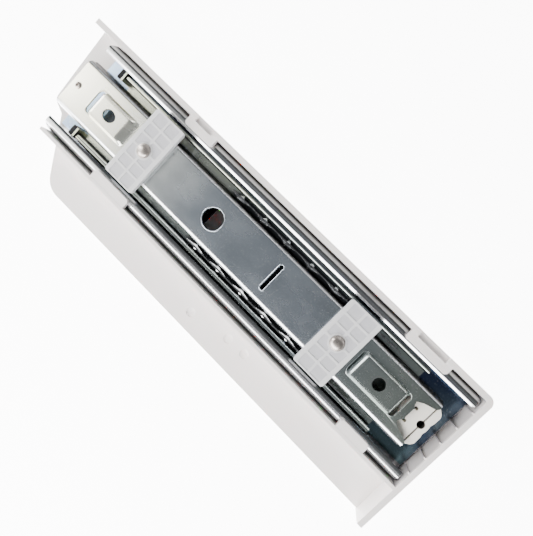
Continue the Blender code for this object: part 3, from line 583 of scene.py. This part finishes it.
def zinc_plate(name, stops, bloom, roughness, lines=0.10, clouds=0.5, painted_light_bands=None, grease_and_shade=None, tail_tint=None):
    """Passivated zinc: a colour that drifts along the slide, clouds, drawing lines and specks.

        Bands are (distance from the middle line, grey, share): lengthwise streaks of painted highlight and shade,
        and the tail tint is (colour, side start, side end, rear, front). See the function above for the greasy film and
        painted shade.
    """
    finish, tree, shader, place = start_finish(name, roughness, 1.0)
    split = add_node(tree, "ShaderNodeSeparateXYZ")
    tree.links.new(place, split.inputs["Vector"])
    cloud = stretched_noise(tree, place, (34.0, 60.0, 60.0), 5.0)
    bloom_patch = stretched_noise(tree, place, (11.0, 30.0, 30.0), 2.0)
    fine_lines = stretched_noise(tree, place, (9.0, 1500.0, 1500.0), 3.0)
    specks = stretched_noise(tree, place, (900.0, 900.0, 900.0), 2.0)

    along = spread(tree, split.outputs["X"], 0.0, 1.0, outer_low.x, outer_high.x)
    drift = add_node(tree, "ShaderNodeMath", operation="MULTIPLY_ADD")
    drift.inputs[1].default_value = 0.06
    tree.links.new(cloud, drift.inputs[0])
    shifted = add_node(tree, "ShaderNodeMath", operation="SUBTRACT")
    shifted.inputs[1].default_value = 0.03
    tree.links.new(along, drift.inputs[2])
    tree.links.new(drift.outputs["Value"], shifted.inputs[0])
    ramp = add_node(tree, "ShaderNodeValToRGB")
    points = ramp.color_ramp.elements
    for index, (share, colour) in enumerate(stops):
        point = points[index] if index < 2 else points.new(share)
        point.position = share
        point.color = (*colour, 1.0)
    tree.links.new(shifted.outputs["Value"], ramp.inputs["Fac"])

    stained = blend_colours(tree, spread(tree, bloom_patch, 0.0, clouds, 0.45, 0.70), ramp.outputs["Color"], bloom)
    wear_and_painted_light = blend_colours(tree, spread(tree, specks, 0.0, 0.5, 0.62, 0.75), stained, (0.80, 0.81, 0.80))
    if tail_tint:
        tint, side_start, side_end, tail_rear, tail_front = tail_tint
        beside = spread(tree, split.outputs["Y"], 0.0, 1.0, CENTRE_Y + side_start, CENTRE_Y + side_end)
        behind = spread(tree, split.outputs["X"], 1.0, 0.0, CENTRE_X + tail_rear, CENTRE_X + tail_front)
        wear_and_painted_light = blend_colours(tree, combine(tree, "MULTIPLY", beside, behind), wear_and_painted_light, tint)
    # Painted highlight and shade: bands across the sheet that stand in for what it mirrors.
    if painted_light_bands:
        across = spread(tree, split.outputs["Y"], 0.0, 1.0, CENTRE_Y - HALF_WIDTH, CENTRE_Y + HALF_WIDTH)
        painted_stripes = add_node(tree, "ShaderNodeValToRGB")
        marks = painted_stripes.color_ramp.elements
        for index, (distance, grey, share) in enumerate(painted_light_bands):
            mark = marks[index] if index < 2 else marks.new(1.0)
            mark.position = (distance + HALF_WIDTH) / (2 * HALF_WIDTH)
            mark.color = (0.97 * grey, 0.985 * grey, grey, share)
        tree.links.new(across, painted_stripes.inputs["Fac"])
        wear_and_painted_light = blend_colours(tree, painted_stripes.outputs["Alpha"], wear_and_painted_light, painted_stripes.outputs["Color"])
    # Greasy film and painted shade where the inner member and the lips keep the metal dark.
    if grease_and_shade:
        wear_and_painted_light = blend_colours(tree, grease_and_painted_shade(tree, split, cloud, *grease_and_shade), wear_and_painted_light, GREASE_AND_SHADE_COLOUR)
    tree.links.new(wear_and_painted_light, shader.inputs["Base Color"])
    patchy = spread(tree, cloud, roughness - 0.015, roughness + 0.045)
    tree.links.new(patchy, shader.inputs["Roughness"])
    add_relief(tree, shader, [(fine_lines, lines, 0.00003), (cloud, 0.012, 0.0010), (specks, 0.05, 0.00003)])
    return finish


blue_zinc = zinc_plate(
    "blue_zinc_steel",
    ((0.0, (0.045, 0.065, 0.12)), (1.0, (0.36, 0.46, 0.64)), (0.16, (0.035, 0.055, 0.125)), (0.34, (0.38, 0.43, 0.48))),
    (0.28, 0.38, 0.38),
    0.20,
    painted_light_bands=LIP_PAINTED_LIGHT,
    tail_tint=((0.11, 0.17, 0.19), 0.0050, 0.0300, -0.1500, -0.1050),
)

web_z = outer_low.z + SHEET / 2
lip_z = outer_high.z - SHEET / 2
flange_y = HALF_WIDTH - SHEET / 2
outer_half = arcs(
    [
        (HALF_WIDTH - LIP_REACH, lip_z - LIP_DIP),
        (HALF_WIDTH - LIP_CREASE, lip_z),
        (flange_y, lip_z),
        (flange_y, web_z),
        (0.0, web_z),
    ],
    [LIP_CREASE_BEND, LIP_CORNER - SHEET / 2, FOOT_CORNER - SHEET / 2],
    10,
)
outer = rolled("outer_rail", outer_half[:-1], -HALF_LENGTH, HALF_LENGTH, SHEET)
trims = []
for name, side in SIDES:
    edge = side * (HALF_WIDTH + 0.001)
    front_taper = [
        (HALF_LENGTH + 0.001, edge),
        (HALF_LENGTH - LIP_TAPER[0], edge),
        (HALF_LENGTH + 0.001, edge - side * (LIP_TAPER[1] + 0.002)),
    ]
    rear_round = [
        (-HALF_LENGTH - 0.001, edge),
        (-HALF_LENGTH + LIP_REAR_ROUND, edge),
        (-HALF_LENGTH - 0.001, edge - side * (LIP_REAR_ROUND + 0.002)),
    ]
    trims.append(plate_of(f"{name}_front_taper", front_taper, web_z + 0.006, outer_high.z + 0.001))
    trims.append(plate_of(f"{name}_rear_round", rear_round, web_z + 0.006, outer_high.z + 0.001))
setback = oblong(HALF_LENGTH, 0, 2 * WEB_SETBACK, 2 * (HALF_WIDTH - FOOT_CORNER), 0.0003, 2)
trims.append(plate_of("web_setback", setback, outer_low.z - 0.001, web_z + 0.002))
slot_plan = oblong(WEB_SLOT_X, 0, *WEB_SLOT, 0.002)
trims.append(plate_of("web_slot", slot_plan, outer_low.z - 0.001, web_z + 0.002))
work(outer, trims, "DIFFERENCE")
ease(outer, STEEL_EDGE)
fit(outer, blue_zinc, "housing", "blue_zinc_steel", "outer_member")

# Rear catch -----------------------------------------------------------------------------
# Cream moulded acetal, clipped to the outer member behind the middle one: the drawer's
# stop. Its rear edge is scalloped and a slit with a round hole lets its two halves spring.

catch_low, catch_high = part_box("rear_catch")
CATCH_EDGE = 0.0005
CATCH_HOLE = 0.0056
CATCH_SLIT = 0.0012
CATCH_BITE = 0.0022
CATCH_SCALLOPS = ((0.0012, 0.864), (0.0, 0.722), (0.0001, 0.383), (0.0008, 0.222), (0.0003, 0.086))
catch_half = (catch_high.y - catch_low.y) / 2
catch_rear = catch_low.x - CENTRE_X
catch_front = catch_high.x - CENTRE_X
half_plan = [
    (catch_front, catch_half),
    (catch_rear + 0.0042, catch_half),
]
half_plan += [(catch_rear + depth, share * catch_half) for depth, share in CATCH_SCALLOPS]
catch_plan = half_plan + [(x, -y) for x, y in reversed(half_plan)]
catch = plate_of("rear_catch_body", closed_arcs(catch_plan, 0.0004, 3), catch_low.z, catch_high.z)
bores = []
hole_x = catch_rear + 0.0056
bore_plan = [
    (hole_x + CATCH_HOLE / 2 * math.cos(turn), CATCH_HOLE / 2 * math.sin(turn))
    for turn in (2 * math.pi * step / 32 for step in range(32))
]
bores.append(plate_of("catch_hole", bore_plan, catch_high.z - 0.010, catch_high.z + 0.001))
slit_plan = oblong(hole_x, 0, CATCH_SLIT, 2 * catch_half + 0.002, CATCH_SLIT / 3, 2)
bores.append(plate_of("catch_slit", slit_plan, catch_high.z - 0.0014, catch_high.z + 0.001))
for name, side in SIDES:
    bite = oblong(catch_front - 0.0068, side * 0.0055, 0.0030, CATCH_BITE, 0.0009, 4)
    bores.append(plate_of(f"{name}_bite", bite, catch_high.z - 0.006, catch_high.z + 0.001))
work(catch, bores, "DIFFERENCE")
ease(catch, CATCH_EDGE, 3)
cream_plastic = moulded_plastic("cream_plastic", (0.84, 0.81, 0.74), (0.76, 0.73, 0.66), 0.46)
fit(catch, cream_plastic, "housing", "cream_plastic", "rear_catch")
# Painted shade: a near-black copy of the plastic on the faces inside the hole and on the floors of the slit and bites.
bore_painted_shade = moulded_plastic("bore_painted_shade", (0.045, 0.040, 0.038), (0.075, 0.070, 0.062), 0.55)
catch.data.materials.append(bore_painted_shade)
for face in catch.data.polygons:
    inside_bore = math.hypot(face.center.x - CENTRE_X - hole_x, face.center.y - CENTRE_Y) < CATCH_HOLE / 2 + 0.0001
    below_top = face.center.z < catch_high.z - 0.0009
    face.material_index = int(below_top and face.center.z > catch_high.z - 0.0115 and (inside_bore or face.normal.z > 0.5))

# Middle member --------------------------------------------------------------------------
# Roll-formed zinc-plated steel with a stepped flange: the outer balls run below the step
# and the inner ones above it. At the front its two stop tabs stand up in front of the web.

middle_low, middle_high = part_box("middle_member")
middle_rear = middle_low.x - CENTRE_X
tab_front = middle_high.x - CENTRE_X
middle_face = middle_high.y - CENTRE_Y
MIDDLE_STEP = 0.0051
MIDDLE_LIP = 0.0026
SHELF_DROP = 0.0043
TAB_REACH = 0.0049
TAB_WIDTH = 0.0082
TAB_TOP = 0.0140
MIDDLE_BEND = 0.0011

zinc = zinc_plate(
    "zinc_steel",
    ((0.0, (0.42, 0.47, 0.43)), (1.0, (0.46, 0.48, 0.42)), (0.30, (0.34, 0.38, 0.39)), (0.72, (0.40, 0.44, 0.42))),
    (0.60, 0.60, 0.42),
    0.24,
    # Greasy film and painted shade under the inner member and in the ball channels.
    grease_and_shade=(0.0138, (0.0194, -0.0620), (0.0200, 0.0258, -0.0920, 0.0400)),
)

middle_top = middle_high.z - SHEET / 2
middle_web = middle_low.z + SHEET / 2
inner_line = middle_face - MIDDLE_STEP + SHEET / 2
shelf_z = middle_high.z - SHELF_DROP - SHEET / 2
middle_half = arcs(
    [
        (inner_line - SHEET / 2 + MIDDLE_LIP, middle_top),
        (inner_line, middle_top),
        (inner_line, shelf_z),
        (middle_face - SHEET / 2, shelf_z),
        (middle_face - SHEET / 2, middle_web),
        (0.0, middle_web),
    ],
    MIDDLE_BEND,
    6,
)
middle_front = tab_front - TAB_REACH
middle = rolled("middle_rail", middle_half[:-1], middle_rear, middle_front, SHEET)
tabs = []
for name, side in SIDES:
    tab_y = side * (middle_face - TAB_WIDTH / 2)
    foot = oblong(middle_front + TAB_REACH / 2 - 0.001, tab_y, TAB_REACH + 0.0015, TAB_WIDTH, 0.0003, 2)
    tabs.append(plate_of(f"{name}_foot", foot, middle_low.z + 0.0001, middle_low.z + SHEET - 0.0001))
    upright = oblong(tab_front - SHEET / 2, tab_y, SHEET, TAB_WIDTH - 0.0003, 0.0003, 2)
    tabs.append(plate_of(f"{name}_tab", upright, middle_low.z + 0.0002, TAB_TOP))
work(middle, tabs, "UNION")
middle_slot = oblong(WEB_SLOT_X, 0, 0.0104, 0.0240, 0.001)
work(middle, [plate_of("middle_slot", middle_slot, middle_low.z - 0.001, middle_web + 0.002)], "DIFFERENCE")
ease(middle, STEEL_EDGE)
fit(middle, zinc, "middle", "zinc_steel", "middle_member")

# Bumpers --------------------------------------------------------------------------------
# Black moulded rubber blocks pressed on the front of the stop tabs: a soft, slightly
# barrelled face, with two shallow grooves across it, takes the knock at full travel.

BUMPER_EDGE = 0.0006
BUMPER_GROOVE = 0.0006


def rubber_finish(name):
    """Black rubber with a dull bloom, moulding dust and a fine grain."""
    finish, tree, shader, place = start_finish(name, 0.6)
    shader.inputs["Specular IOR Level"].default_value = 0.2
    dust = stretched_noise(tree, place, (420.0, 420.0, 420.0), 4.0)
    grain = stretched_noise(tree, place, (2600.0, 2600.0, 2600.0), 2.0)
    colour = blend_colours(tree, spread(tree, dust, 0.0, 1.0, 0.45, 0.75), (0.004, 0.004, 0.005), (0.014, 0.014, 0.016))
    tree.links.new(colour, shader.inputs["Base Color"])
    tree.links.new(spread(tree, dust, 0.50, 0.70), shader.inputs["Roughness"])
    add_relief(tree, shader, [(grain, 0.2, 0.00004)])
    return finish


black_rubber = rubber_finish("black_rubber")
for name, side in SIDES:
    low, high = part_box(f"front_bumper_{name}")
    size = high - low
    across = (low.y + high.y) / 2 - CENTRE_Y
    ahead = (low.x + high.x) / 2 - CENTRE_X
    bumper = plate_of(f"bumper_pad_{name}", oblong(ahead, across, size.x, size.y, 0.0008, 4), low.z, high.z)
    grooves = []
    for share in (0.36, 0.68):
        height = low.z + share * size.z
        notch = oblong(high.x - CENTRE_X, across, BUMPER_GROOVE, size.y + 0.002, 0.0001, 2)
        grooves.append(plate_of("groove", notch, height - BUMPER_GROOVE / 2, height + BUMPER_GROOVE / 2))
    work(bumper, grooves, "DIFFERENCE")
    ease(bumper, BUMPER_EDGE / 2)
    fit(bumper, black_rubber, "middle", "black_rubber", f"front_bumper_{name}")

# Inner member ---------------------------------------------------------------------------
# Roll-formed bright zinc-plated steel that carries the drawer. Two pads with screw holes
# are pressed up from its web, and its rear edge is notched to grip the catch.

inner_low, inner_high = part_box("inner_member")
inner_rear = inner_low.x - CENTRE_X
inner_front = inner_high.x - CENTRE_X
inner_face = inner_high.y - CENTRE_Y
PAD_TOP = inner_high.z
PAD_RISE = 0.0036
WEB_TOP = PAD_TOP - PAD_RISE
WEB_Z = WEB_TOP - SHEET / 2
FLARE = 0.00115
SHOULDER = 0.0160
RACE_TOP = 0.0145
INNER_BEND = 0.0034
inner_flange = inner_face - FLARE
OPENING_WIDTH = 0.0192
PAD_HALF_TOP = 0.0086
PAD_HALF_ROOT = 0.0104
ACCESS_HOLE = (0.0319, 0.0165)
CROSS_SLOT = (-0.0247, 0.0038, 0.0226)
PADS = (                    # name, hole, its length, opening, plateau and the two end curls
    ("front", 0.1352, 0.0109, 0.0089, (0.1155, 0.1549), (0.1225, 0.1480), (0.0062, 0.0012)),
    ("rear", -0.1220, 0.0088, 0.0088, (-0.1437, -0.1013), (-0.1369, -0.1060), (0.0031, 0.0031)),
)
CURL_DROP = 0.0030
RIM_RADIUS = 0.00062
RIM_SINK = 0.00022
ROLLED_RIM = 0.00042        # punched edges, rolled over by the tool
NOTCH_HALF = ((-0.001, 0.0165), (0.0016, 0.0139), (0.0094, 0.0115), (0.0133, 0.0090), (0.0127, 0.0070), (0.0112, 0.0050))

BEND_PAINTED_LIGHT = (              # painted highlight along the bends and painted shade on the flanges below them
    (-0.0396, 0.07, 1.0),
    (0.0396, 0.07, 1.0),
    (-0.0189, 0.07, 1.0),
    (-0.0184, 0.88, 0.9),
    (-0.0176, 0.88, 0.9),
    (-0.0172, 0.40, 0.0),
    (0.0163, 0.50, 0.0),
    (0.0168, 0.97, 1.0),
    (0.0189, 0.97, 1.0),
    (0.0194, 0.10, 1.0),
)

bright_zinc = zinc_plate(
    "bright_zinc_steel",
    (
        (0.0, (0.30, 0.34, 0.31)),
        (1.0, (0.88, 0.855, 0.72)),
        (0.14, (0.34, 0.38, 0.36)),
        (0.32, (0.36, 0.40, 0.45)),
        (0.62, (0.43, 0.48, 0.54)),
        (0.76, (0.64, 0.67, 0.67)),
        (0.88, (0.82, 0.81, 0.70)),
    ),
    (0.62, 0.63, 0.54),
    0.25,
    clouds=0.06,
    painted_light_bands=BEND_PAINTED_LIGHT,
)

race_line = inner_face - SHEET / 2
inner_half = arcs(
    [
        (race_line, inner_low.z),
        (race_line, RACE_TOP),
        (inner_flange - SHEET / 2, SHOULDER),
        (inner_flange - SHEET / 2, WEB_Z),
        (0.0, WEB_Z),
    ],
    [0.0012, 0.0012, INNER_BEND - SHEET / 2],
    8,
)
inner = rolled("inner_rail", inner_half[:-1], inner_rear, inner_front, SHEET)


def round_plan(x, length, width, steps=32):
    """A round or oval hole in plan."""
    turns = [2 * math.pi * step / steps for step in range(steps)]
    return [(x + length / 2 * math.cos(turn), width / 2 * math.sin(turn)) for turn in turns]


def rolled_rim(name, outline, share=1.0):
    """The edge that the punch rolled up round an opening: a tube along its outline."""
    shape = bmesh.new()
    loops = []
    points = [Vector(point) for point in outline]
    for index, point in enumerate(points):
        along = (points[(index + 1) % len(points)] - points[index - 1]).normalized()
        out = Vector((along.y, -along.x))
        loop = []
        for step in range(10):
            turn = 2 * math.pi * step / 10
            spot = point + out * (share * RIM_RADIUS * math.cos(turn))
            z = WEB_TOP - RIM_SINK + share * RIM_RADIUS * math.sin(turn)
            loop.append(shape.verts.new((CENTRE_X + spot.x, CENTRE_Y + spot.y, z)))
        loops.append(loop)
    for first, second in zip(loops, loops[1:] + loops[:1]):
        for step in range(10):
            ahead = (step + 1) % 10
            shape.faces.new((first[step], first[ahead], second[ahead], second[step]))
    return add_solid(name, shape)


def pressed_pad(name, plateau, curls):
    """The bridge of a pad: flat on top, sloping into the web at its sides, curled down at its ends."""
    rear, front = plateau[0] - curls[0], plateau[1] + curls[1]
    columns, rows = 56, 28
    base, rise = WEB_Z, PAD_RISE
    shape = bmesh.new()
    grid = []
    for column in range(columns + 1):
        x = rear + (front - rear) * column / columns
        behind = max(0.0, (plateau[0] - x) / curls[0])
        before = max(0.0, (x - plateau[1]) / curls[1])
        drop = CURL_DROP * (1 - math.cos(math.pi / 2 * max(behind, before)))
        line = []
        for row in range(rows + 1):
            share = 2 * row / rows - 1
            y = share * PAD_HALF_ROOT
            side = min(1.0, max(0.0, (PAD_HALF_ROOT - abs(y)) / (PAD_HALF_ROOT - PAD_HALF_TOP + 0.0006)))
            lift = side * side * (3 - 2 * side)
            z = base + (rise - drop) * lift
            line.append(shape.verts.new((CENTRE_X + x, CENTRE_Y + y, z)))
        grid.append(line)
    for first, second in zip(grid, grid[1:]):
        for a, b, c, d in zip(first, second, second[1:], first[1:]):
            shape.faces.new((a, b, c, d))
    bmesh.ops.recalc_face_normals(shape, faces=shape.faces[:])
    mesh = bpy.data.meshes.new(name)
    shape.to_mesh(mesh)
    shape.free()
    pad = bpy.data.objects.new(name, mesh)
    bpy.context.scene.collection.objects.link(pad)
    thick = pad.modifiers.new("sheet", "SOLIDIFY")
    thick.thickness = SHEET
    thick.offset = 0.0
    bake_modifiers(pad)
    return pad


cuts, bridges, holes = [], [], []
for name, hole_x, hole_length, hole_width, opening, plateau, curls in PADS:
    gap = oblong((opening[0] + opening[1]) / 2, 0, opening[1] - opening[0], OPENING_WIDTH, 0.0032)
    cuts.append(plate_of(f"{name}_opening", gap, WEB_Z - 0.002, WEB_TOP + 0.001))
    bridges.append(pressed_pad(f"{name}_pad", plateau, curls))
    holes.append(plate_of(f"{name}_hole", round_plan(hole_x, hole_length, hole_width), WEB_Z, PAD_TOP + 0.002))
cuts.append(plate_of("access", round_plan(ACCESS_HOLE[0], ACCESS_HOLE[1], ACCESS_HOLE[1], 48), WEB_Z - 0.002, WEB_TOP + 0.001))
slot_cut = oblong(CROSS_SLOT[0], 0, CROSS_SLOT[1], CROSS_SLOT[2], CROSS_SLOT[1] * 0.45)
cuts.append(plate_of("cross_slot", slot_cut, WEB_Z - 0.002, WEB_TOP + 0.001))
notch_side = [(inner_rear + x, y) for x, y in NOTCH_HALF]
notch = notch_side + [(x, -y) for x, y in reversed(notch_side)]
cuts.append(plate_of("notch", notch, WEB_Z - 0.002, WEB_TOP + 0.001))
work(inner, cuts, "DIFFERENCE")
bridges.append(rolled_rim("access_rim", round_plan(ACCESS_HOLE[0], ACCESS_HOLE[1], ACCESS_HOLE[1], 48)))
bridges.append(rolled_rim("slot_rim", slot_cut))
for name, _, _, _, opening, _, _ in PADS:
    gap = oblong((opening[0] + opening[1]) / 2, 0, opening[1] - opening[0], OPENING_WIDTH + 0.0010, 0.0036)
    bridges.append(rolled_rim(f"{name}_rim", gap, 0.8))
work(inner, bridges, "UNION")
work(inner, holes, "DIFFERENCE")
ease(inner, ROLLED_RIM, 3)
fit(inner, bright_zinc, "inner", "bright_zinc_steel", "inner_member")


# Spacer blocks --------------------------------------------------------------------------
# Natural nylon mouldings riveted across the inner member. They are cored out from below,
# so the waffle of ribs shows through the thin skin on top.

BLOCK_CORNER = 0.0018
BLOCK_SKIN = 0.0011
BLOCK_COLUMN_GAP = 0.0018
BLOCK_END_RIM = 0.0032
BLOCK_ROWS = (              # distance of each cell's two sides from the middle line
    (0.0008, 0.0086),
    (0.0101, 0.0170),
    (0.0186, 0.0266),
)
BLOCK_SHADOW = 0.00030      # the skin sinks this much over a cell
BLOCK_BOSS = 0.0128
BORE_REACH = 0.002


def nylon_finish(name, light, dark):
    """Milky nylon that lets some light through, with flow clouds and a fine grain."""
    finish, tree, shader, place = start_finish(name, 0.42)
    cloud = stretched_noise(tree, place, (120.0, 90.0, 90.0), 4.0)
    grain = stretched_noise(tree, place, (2100.0, 2100.0, 2100.0), 2.0)
    colour = blend_colours(tree, spread(tree, cloud, 0.0, 1.0), light, dark)
    tree.links.new(colour, shader.inputs["Base Color"])
    tree.links.new(spread(tree, cloud, 0.36, 0.50), shader.inputs["Roughness"])
    shader.inputs["Subsurface Weight"].default_value = 0.35
    shader.inputs["Subsurface Radius"].default_value = (0.0026, 0.0026, 0.0028)
    shader.inputs["Subsurface Scale"].default_value = 0.6
    shader.inputs["Transmission Weight"].default_value = 0.22
    shader.inputs["IOR"].default_value = 1.53
    add_relief(tree, shader, [(cloud, 0.10, 0.0004), (grain, 0.10, 0.00003)])
    return finish


natural_nylon = nylon_finish("natural_nylon", (0.80, 0.80, 0.81), (0.74, 0.745, 0.76))
# A darker copy of the nylon: painted shade for the cells that show through the thin skin.
cell_painted_shade_nylon = nylon_finish("nylon_over_cell", (0.62, 0.62, 0.65), (0.57, 0.575, 0.61))
for place_name in ("front", "rear"):
    low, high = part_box(f"spacer_block_{place_name}")
    middle_x = (low.x + high.x) / 2 - CENTRE_X
    length, width = high.x - low.x, high.y - low.y
    block = plate_of(f"block_{place_name}", oblong(middle_x, 0, length, width, BLOCK_CORNER), low.z, high.z)
    cell_length = (length - BLOCK_COLUMN_GAP) / 2 - BLOCK_END_RIM
    cores = []
    for column in (-1, 1):
        cell_x = middle_x + column * (BLOCK_COLUMN_GAP + cell_length) / 2
        for side in (UPPER, LOWER):
            for near, far in BLOCK_ROWS:
                plan_of_cell = oblong(cell_x, side * (near + far) / 2, cell_length, far - near, 0.0006, 4)
                for bottom, top in (
                    (low.z - BORE_REACH, high.z - BLOCK_SKIN),
                    (high.z - BLOCK_SHADOW, high.z + BORE_REACH),
                ):
                    core = plate_of("core", plan_of_cell, bottom, top)
                    if near < BLOCK_BOSS / 2 < far:
                        boss_plan = round_plan(middle_x, BLOCK_BOSS, BLOCK_BOSS)
                        work(core, [plate_of("boss", boss_plan, bottom - BORE_REACH, top + BORE_REACH)], "DIFFERENCE")
                    cores.append(core)
    bore = round_plan(middle_x, 0.0056, 0.0056, 24)
    cores.append(plate_of("bore", bore, low.z - BORE_REACH, high.z + BORE_REACH))
    work(block, cores, "DIFFERENCE")
    ease(block, 0.00025)
    fit(block, natural_nylon, "inner", "natural_nylon", f"spacer_block_{place_name}")
    # The skin over each cell takes the darker copy, as painted shade.
    block.data.materials.append(cell_painted_shade_nylon)
    for face in block.data.polygons:
        over_cell = abs(face.center.z - (high.z - BLOCK_SHADOW)) < 0.00006
        face.material_index = int(over_cell and face.normal.z > 0.9)

# Block rivets and front eyelet ----------------------------------------------------------
# Nickel-plated steel rivets, headed over a fine ring, that hold each block to the inner
# member; the small eyelet at its front end is set in the same way.

RIVET_STEPS = 48
HEAD_RING = 0.0006


def turned(name, centre, profile):
    """A turned piece on an upright axis, from (radius, height) points down its outer side."""
    shape = bmesh.new()
    rings = []
    for radius, height in profile:
        if radius == 0:
            rings.append([shape.verts.new((centre.x, centre.y, height))])
            continue
        turns = [2 * math.pi * step / RIVET_STEPS for step in range(RIVET_STEPS)]
        rings.append(
            [shape.verts.new((centre.x + radius * math.cos(t), centre.y + radius * math.sin(t), height)) for t in turns]
        )
    for first, second in zip(rings, rings[1:]):
        for step in range(RIVET_STEPS):
            ahead = (step + 1) % RIVET_STEPS
            corners = [first[step % len(first)], first[ahead % len(first)]]
            corners += [second[ahead % len(second)], second[step % len(second)]]
            face = list(dict.fromkeys(corners))
            shape.faces.new(face)
    return add_solid(name, shape)


def crown(radius, base, rise, steps=10):
    """The points of a domed head, from its tip down to its edge."""
    turns = [math.pi / 2 * step / steps for step in range(steps + 1)]
    return [(radius * math.sin(turn), base + rise * math.cos(turn)) for turn in turns]


def turned_steel(name, light, dark, roughness):
    """Plated turned steel: rings left by the tool, stains and fine scratches."""
    finish, tree, shader, place = start_finish(name, roughness, 1.0)
    stain = stretched_noise(tree, place, (260.0, 260.0, 260.0), 4.0)
    scratch = stretched_noise(tree, place, (300.0, 4000.0, 4000.0), 3.0)
    colour = blend_colours(tree, spread(tree, stain, 0.0, 1.0), light, dark)
    tree.links.new(colour, shader.inputs["Base Color"])
    tree.links.new(spread(tree, stain, roughness - 0.05, roughness + 0.09), shader.inputs["Roughness"])
    add_relief(tree, shader, [(stain, 0.06, 0.0003), (scratch, 0.07, 0.00002)])
    return finish


rivet_steel = turned_steel("rivet_steel", (0.56, 0.51, 0.47), (0.40, 0.36, 0.33), 0.30)
for node, head, dimple in (("block_rivet_front", 0.0044, 0.0), ("block_rivet_rear", 0.0044, 0.0), ("front_eyelet", 0.0013, 0.0011)):
    low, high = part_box(node)
    centre = (low + high) / 2
    radius = (high.x - low.x) / 2
    dome_rise = 0.0018 if not dimple else 0.0007
    seat = high.z - dome_rise - (HEAD_RING if not dimple else 0.0002)
    shank = radius * (0.49 if not dimple else 0.58)
    if dimple:
        head_profile = [(0, high.z - dimple), (dimple * 0.8, high.z - dimple), (dimple, high.z - 0.0003)]
        head_profile += [(dimple + 0.0003, high.z), (radius - 0.0004, high.z - 0.0002), (radius, seat + 0.0001)]
    else:
        head_profile = crown(radius - HEAD_RING, high.z - dome_rise, dome_rise)
        head_profile += [(radius - 0.0002, high.z - dome_rise - 0.0001), (radius, seat + 0.0002)]
    head_profile += [(radius, seat), (shank, seat), (shank, low.z + 0.0006), (shank - 0.0005, low.z), (0, low.z)]
    rivet = turned(f"{node}_head", centre, head_profile)
    ease(rivet, 0)
    fit(rivet, rivet_steel, "inner", "rivet_steel", node)

# Ball cages -----------------------------------------------------------------------------
# Pressed strips of bright spring steel that hold the balls apart. The inner ones have a
# finger over each ball that keeps it in the race; both roll along at half the travel.

BALL_LAND = 0.00045         # clear space between a ball and its window
FINGER_LENGTH = 0.0166
FINGER_BULGE = 0.0021
FINGER_RISE = 0.0009
FINGER_SHEET = 0.0006


def cross_pin(x, z, radius, low_y, high_y, steps=28):
    """A round bar across the slide."""
    shape = bmesh.new()
    turns = [2 * math.pi * step / steps for step in range(steps)]
    ring = [shape.verts.new((x + radius * math.cos(t), low_y, z + radius * math.sin(t))) for t in turns]
    face = shape.faces.new(ring)
    raised = bmesh.ops.extrude_face_region(shape, geom=[face])["geom"]
    moved = [item for item in raised if isinstance(item, bmesh.types.BMVert)]
    bmesh.ops.translate(shape, verts=moved, vec=(0, high_y - low_y, 0))
    return add_solid("window", shape)


def finger(x, side, rail_y, top):
    """A leaf that curls over one ball, widest in the middle and pinched at its ends."""
    columns, rows = 24, 8
    shape = bmesh.new()
    grid = []
    for column in range(columns + 1):
        share = 2 * column / columns - 1
        bulge = FINGER_BULGE * (0.25 + 0.75 * math.cos(math.pi / 2 * share) ** 2)
        ripple = 0.00035 * math.cos(3 * math.pi * share)
        line = []
        for row in range(rows + 1):
            reach = row / rows
            y = rail_y - side * bulge * reach
            z = top + FINGER_RISE * math.sin(math.pi / 2 * reach) - 0.0009 + ripple * reach
            line.append(shape.verts.new((x + share * FINGER_LENGTH / 2, y, z)))
        grid.append(line)
    for first, second in zip(grid, grid[1:]):
        for a, b, c, d in zip(first, second, second[1:], first[1:]):
            shape.faces.new((a, b, c, d))
    mesh = bpy.data.meshes.new("finger")
    shape.to_mesh(mesh)
    shape.free()
    leaf = bpy.data.objects.new("finger", mesh)
    bpy.context.scene.collection.objects.link(leaf)
    thick = leaf.modifiers.new("sheet", "SOLIDIFY")
    thick.thickness = FINGER_SHEET
    thick.offset = 0.0
    bake_modifiers(leaf)
    return leaf


cage_steel = turned_steel("cage_steel", (0.50, 0.51, 0.52), (0.10, 0.105, 0.11), 0.20)
ball_steel = turned_steel("ball_steel", (0.62, 0.62, 0.63), (0.50, 0.50, 0.51), 0.10)
for kind, count in (("outer", 6), ("inner", 6)):
    for name, side in SIDES:
        cage_name = f"{kind}_cage_{name}"
        low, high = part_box(cage_name)
        middle_y = (low.y + high.y) / 2
        top = high.z
        plan_of_cage = oblong(
            (low.x + high.x) / 2 - CENTRE_X, middle_y - CENTRE_Y, high.x - low.x, high.y - low.y, 0.0003, 2
        )
        cage = plate_of(f"{cage_name}_strip", plan_of_cage, low.z, top)
        windows, leaves = [], []
        for number in range(1, count + 1):
            ball_low, ball_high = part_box(f"{kind}_ball_{name}_{number}")
            centre = (ball_low + ball_high) / 2
            radius = (ball_high.z - ball_low.z) / 2
            windows.append(
                cross_pin(centre.x, centre.z, radius + BALL_LAND, low.y - 0.002, high.y + 0.002)
            )
            if kind == "inner":
                leaves.append(finger(centre.x, side, middle_y - CENTRE_Y + CENTRE_Y, top - 0.0003))
            sphere = bmesh.new()
            bmesh.ops.create_icosphere(sphere, subdivisions=4, radius=radius)
            bmesh.ops.translate(sphere, verts=sphere.verts[:], vec=centre)
            ball = add_solid(f"{kind}_bearing_{name}_{number}", sphere)
            ease(ball, 0)
            fit(ball, ball_steel, f"{kind}_cage_{name}", "ball_steel", f"{kind}_ball_{name}_{number}")
        work(cage, windows, "DIFFERENCE")
        work(cage, leaves, "UNION")
        ease(cage, 0)
        fit(cage, cage_steel, cage_name, "cage_steel", cage_name)
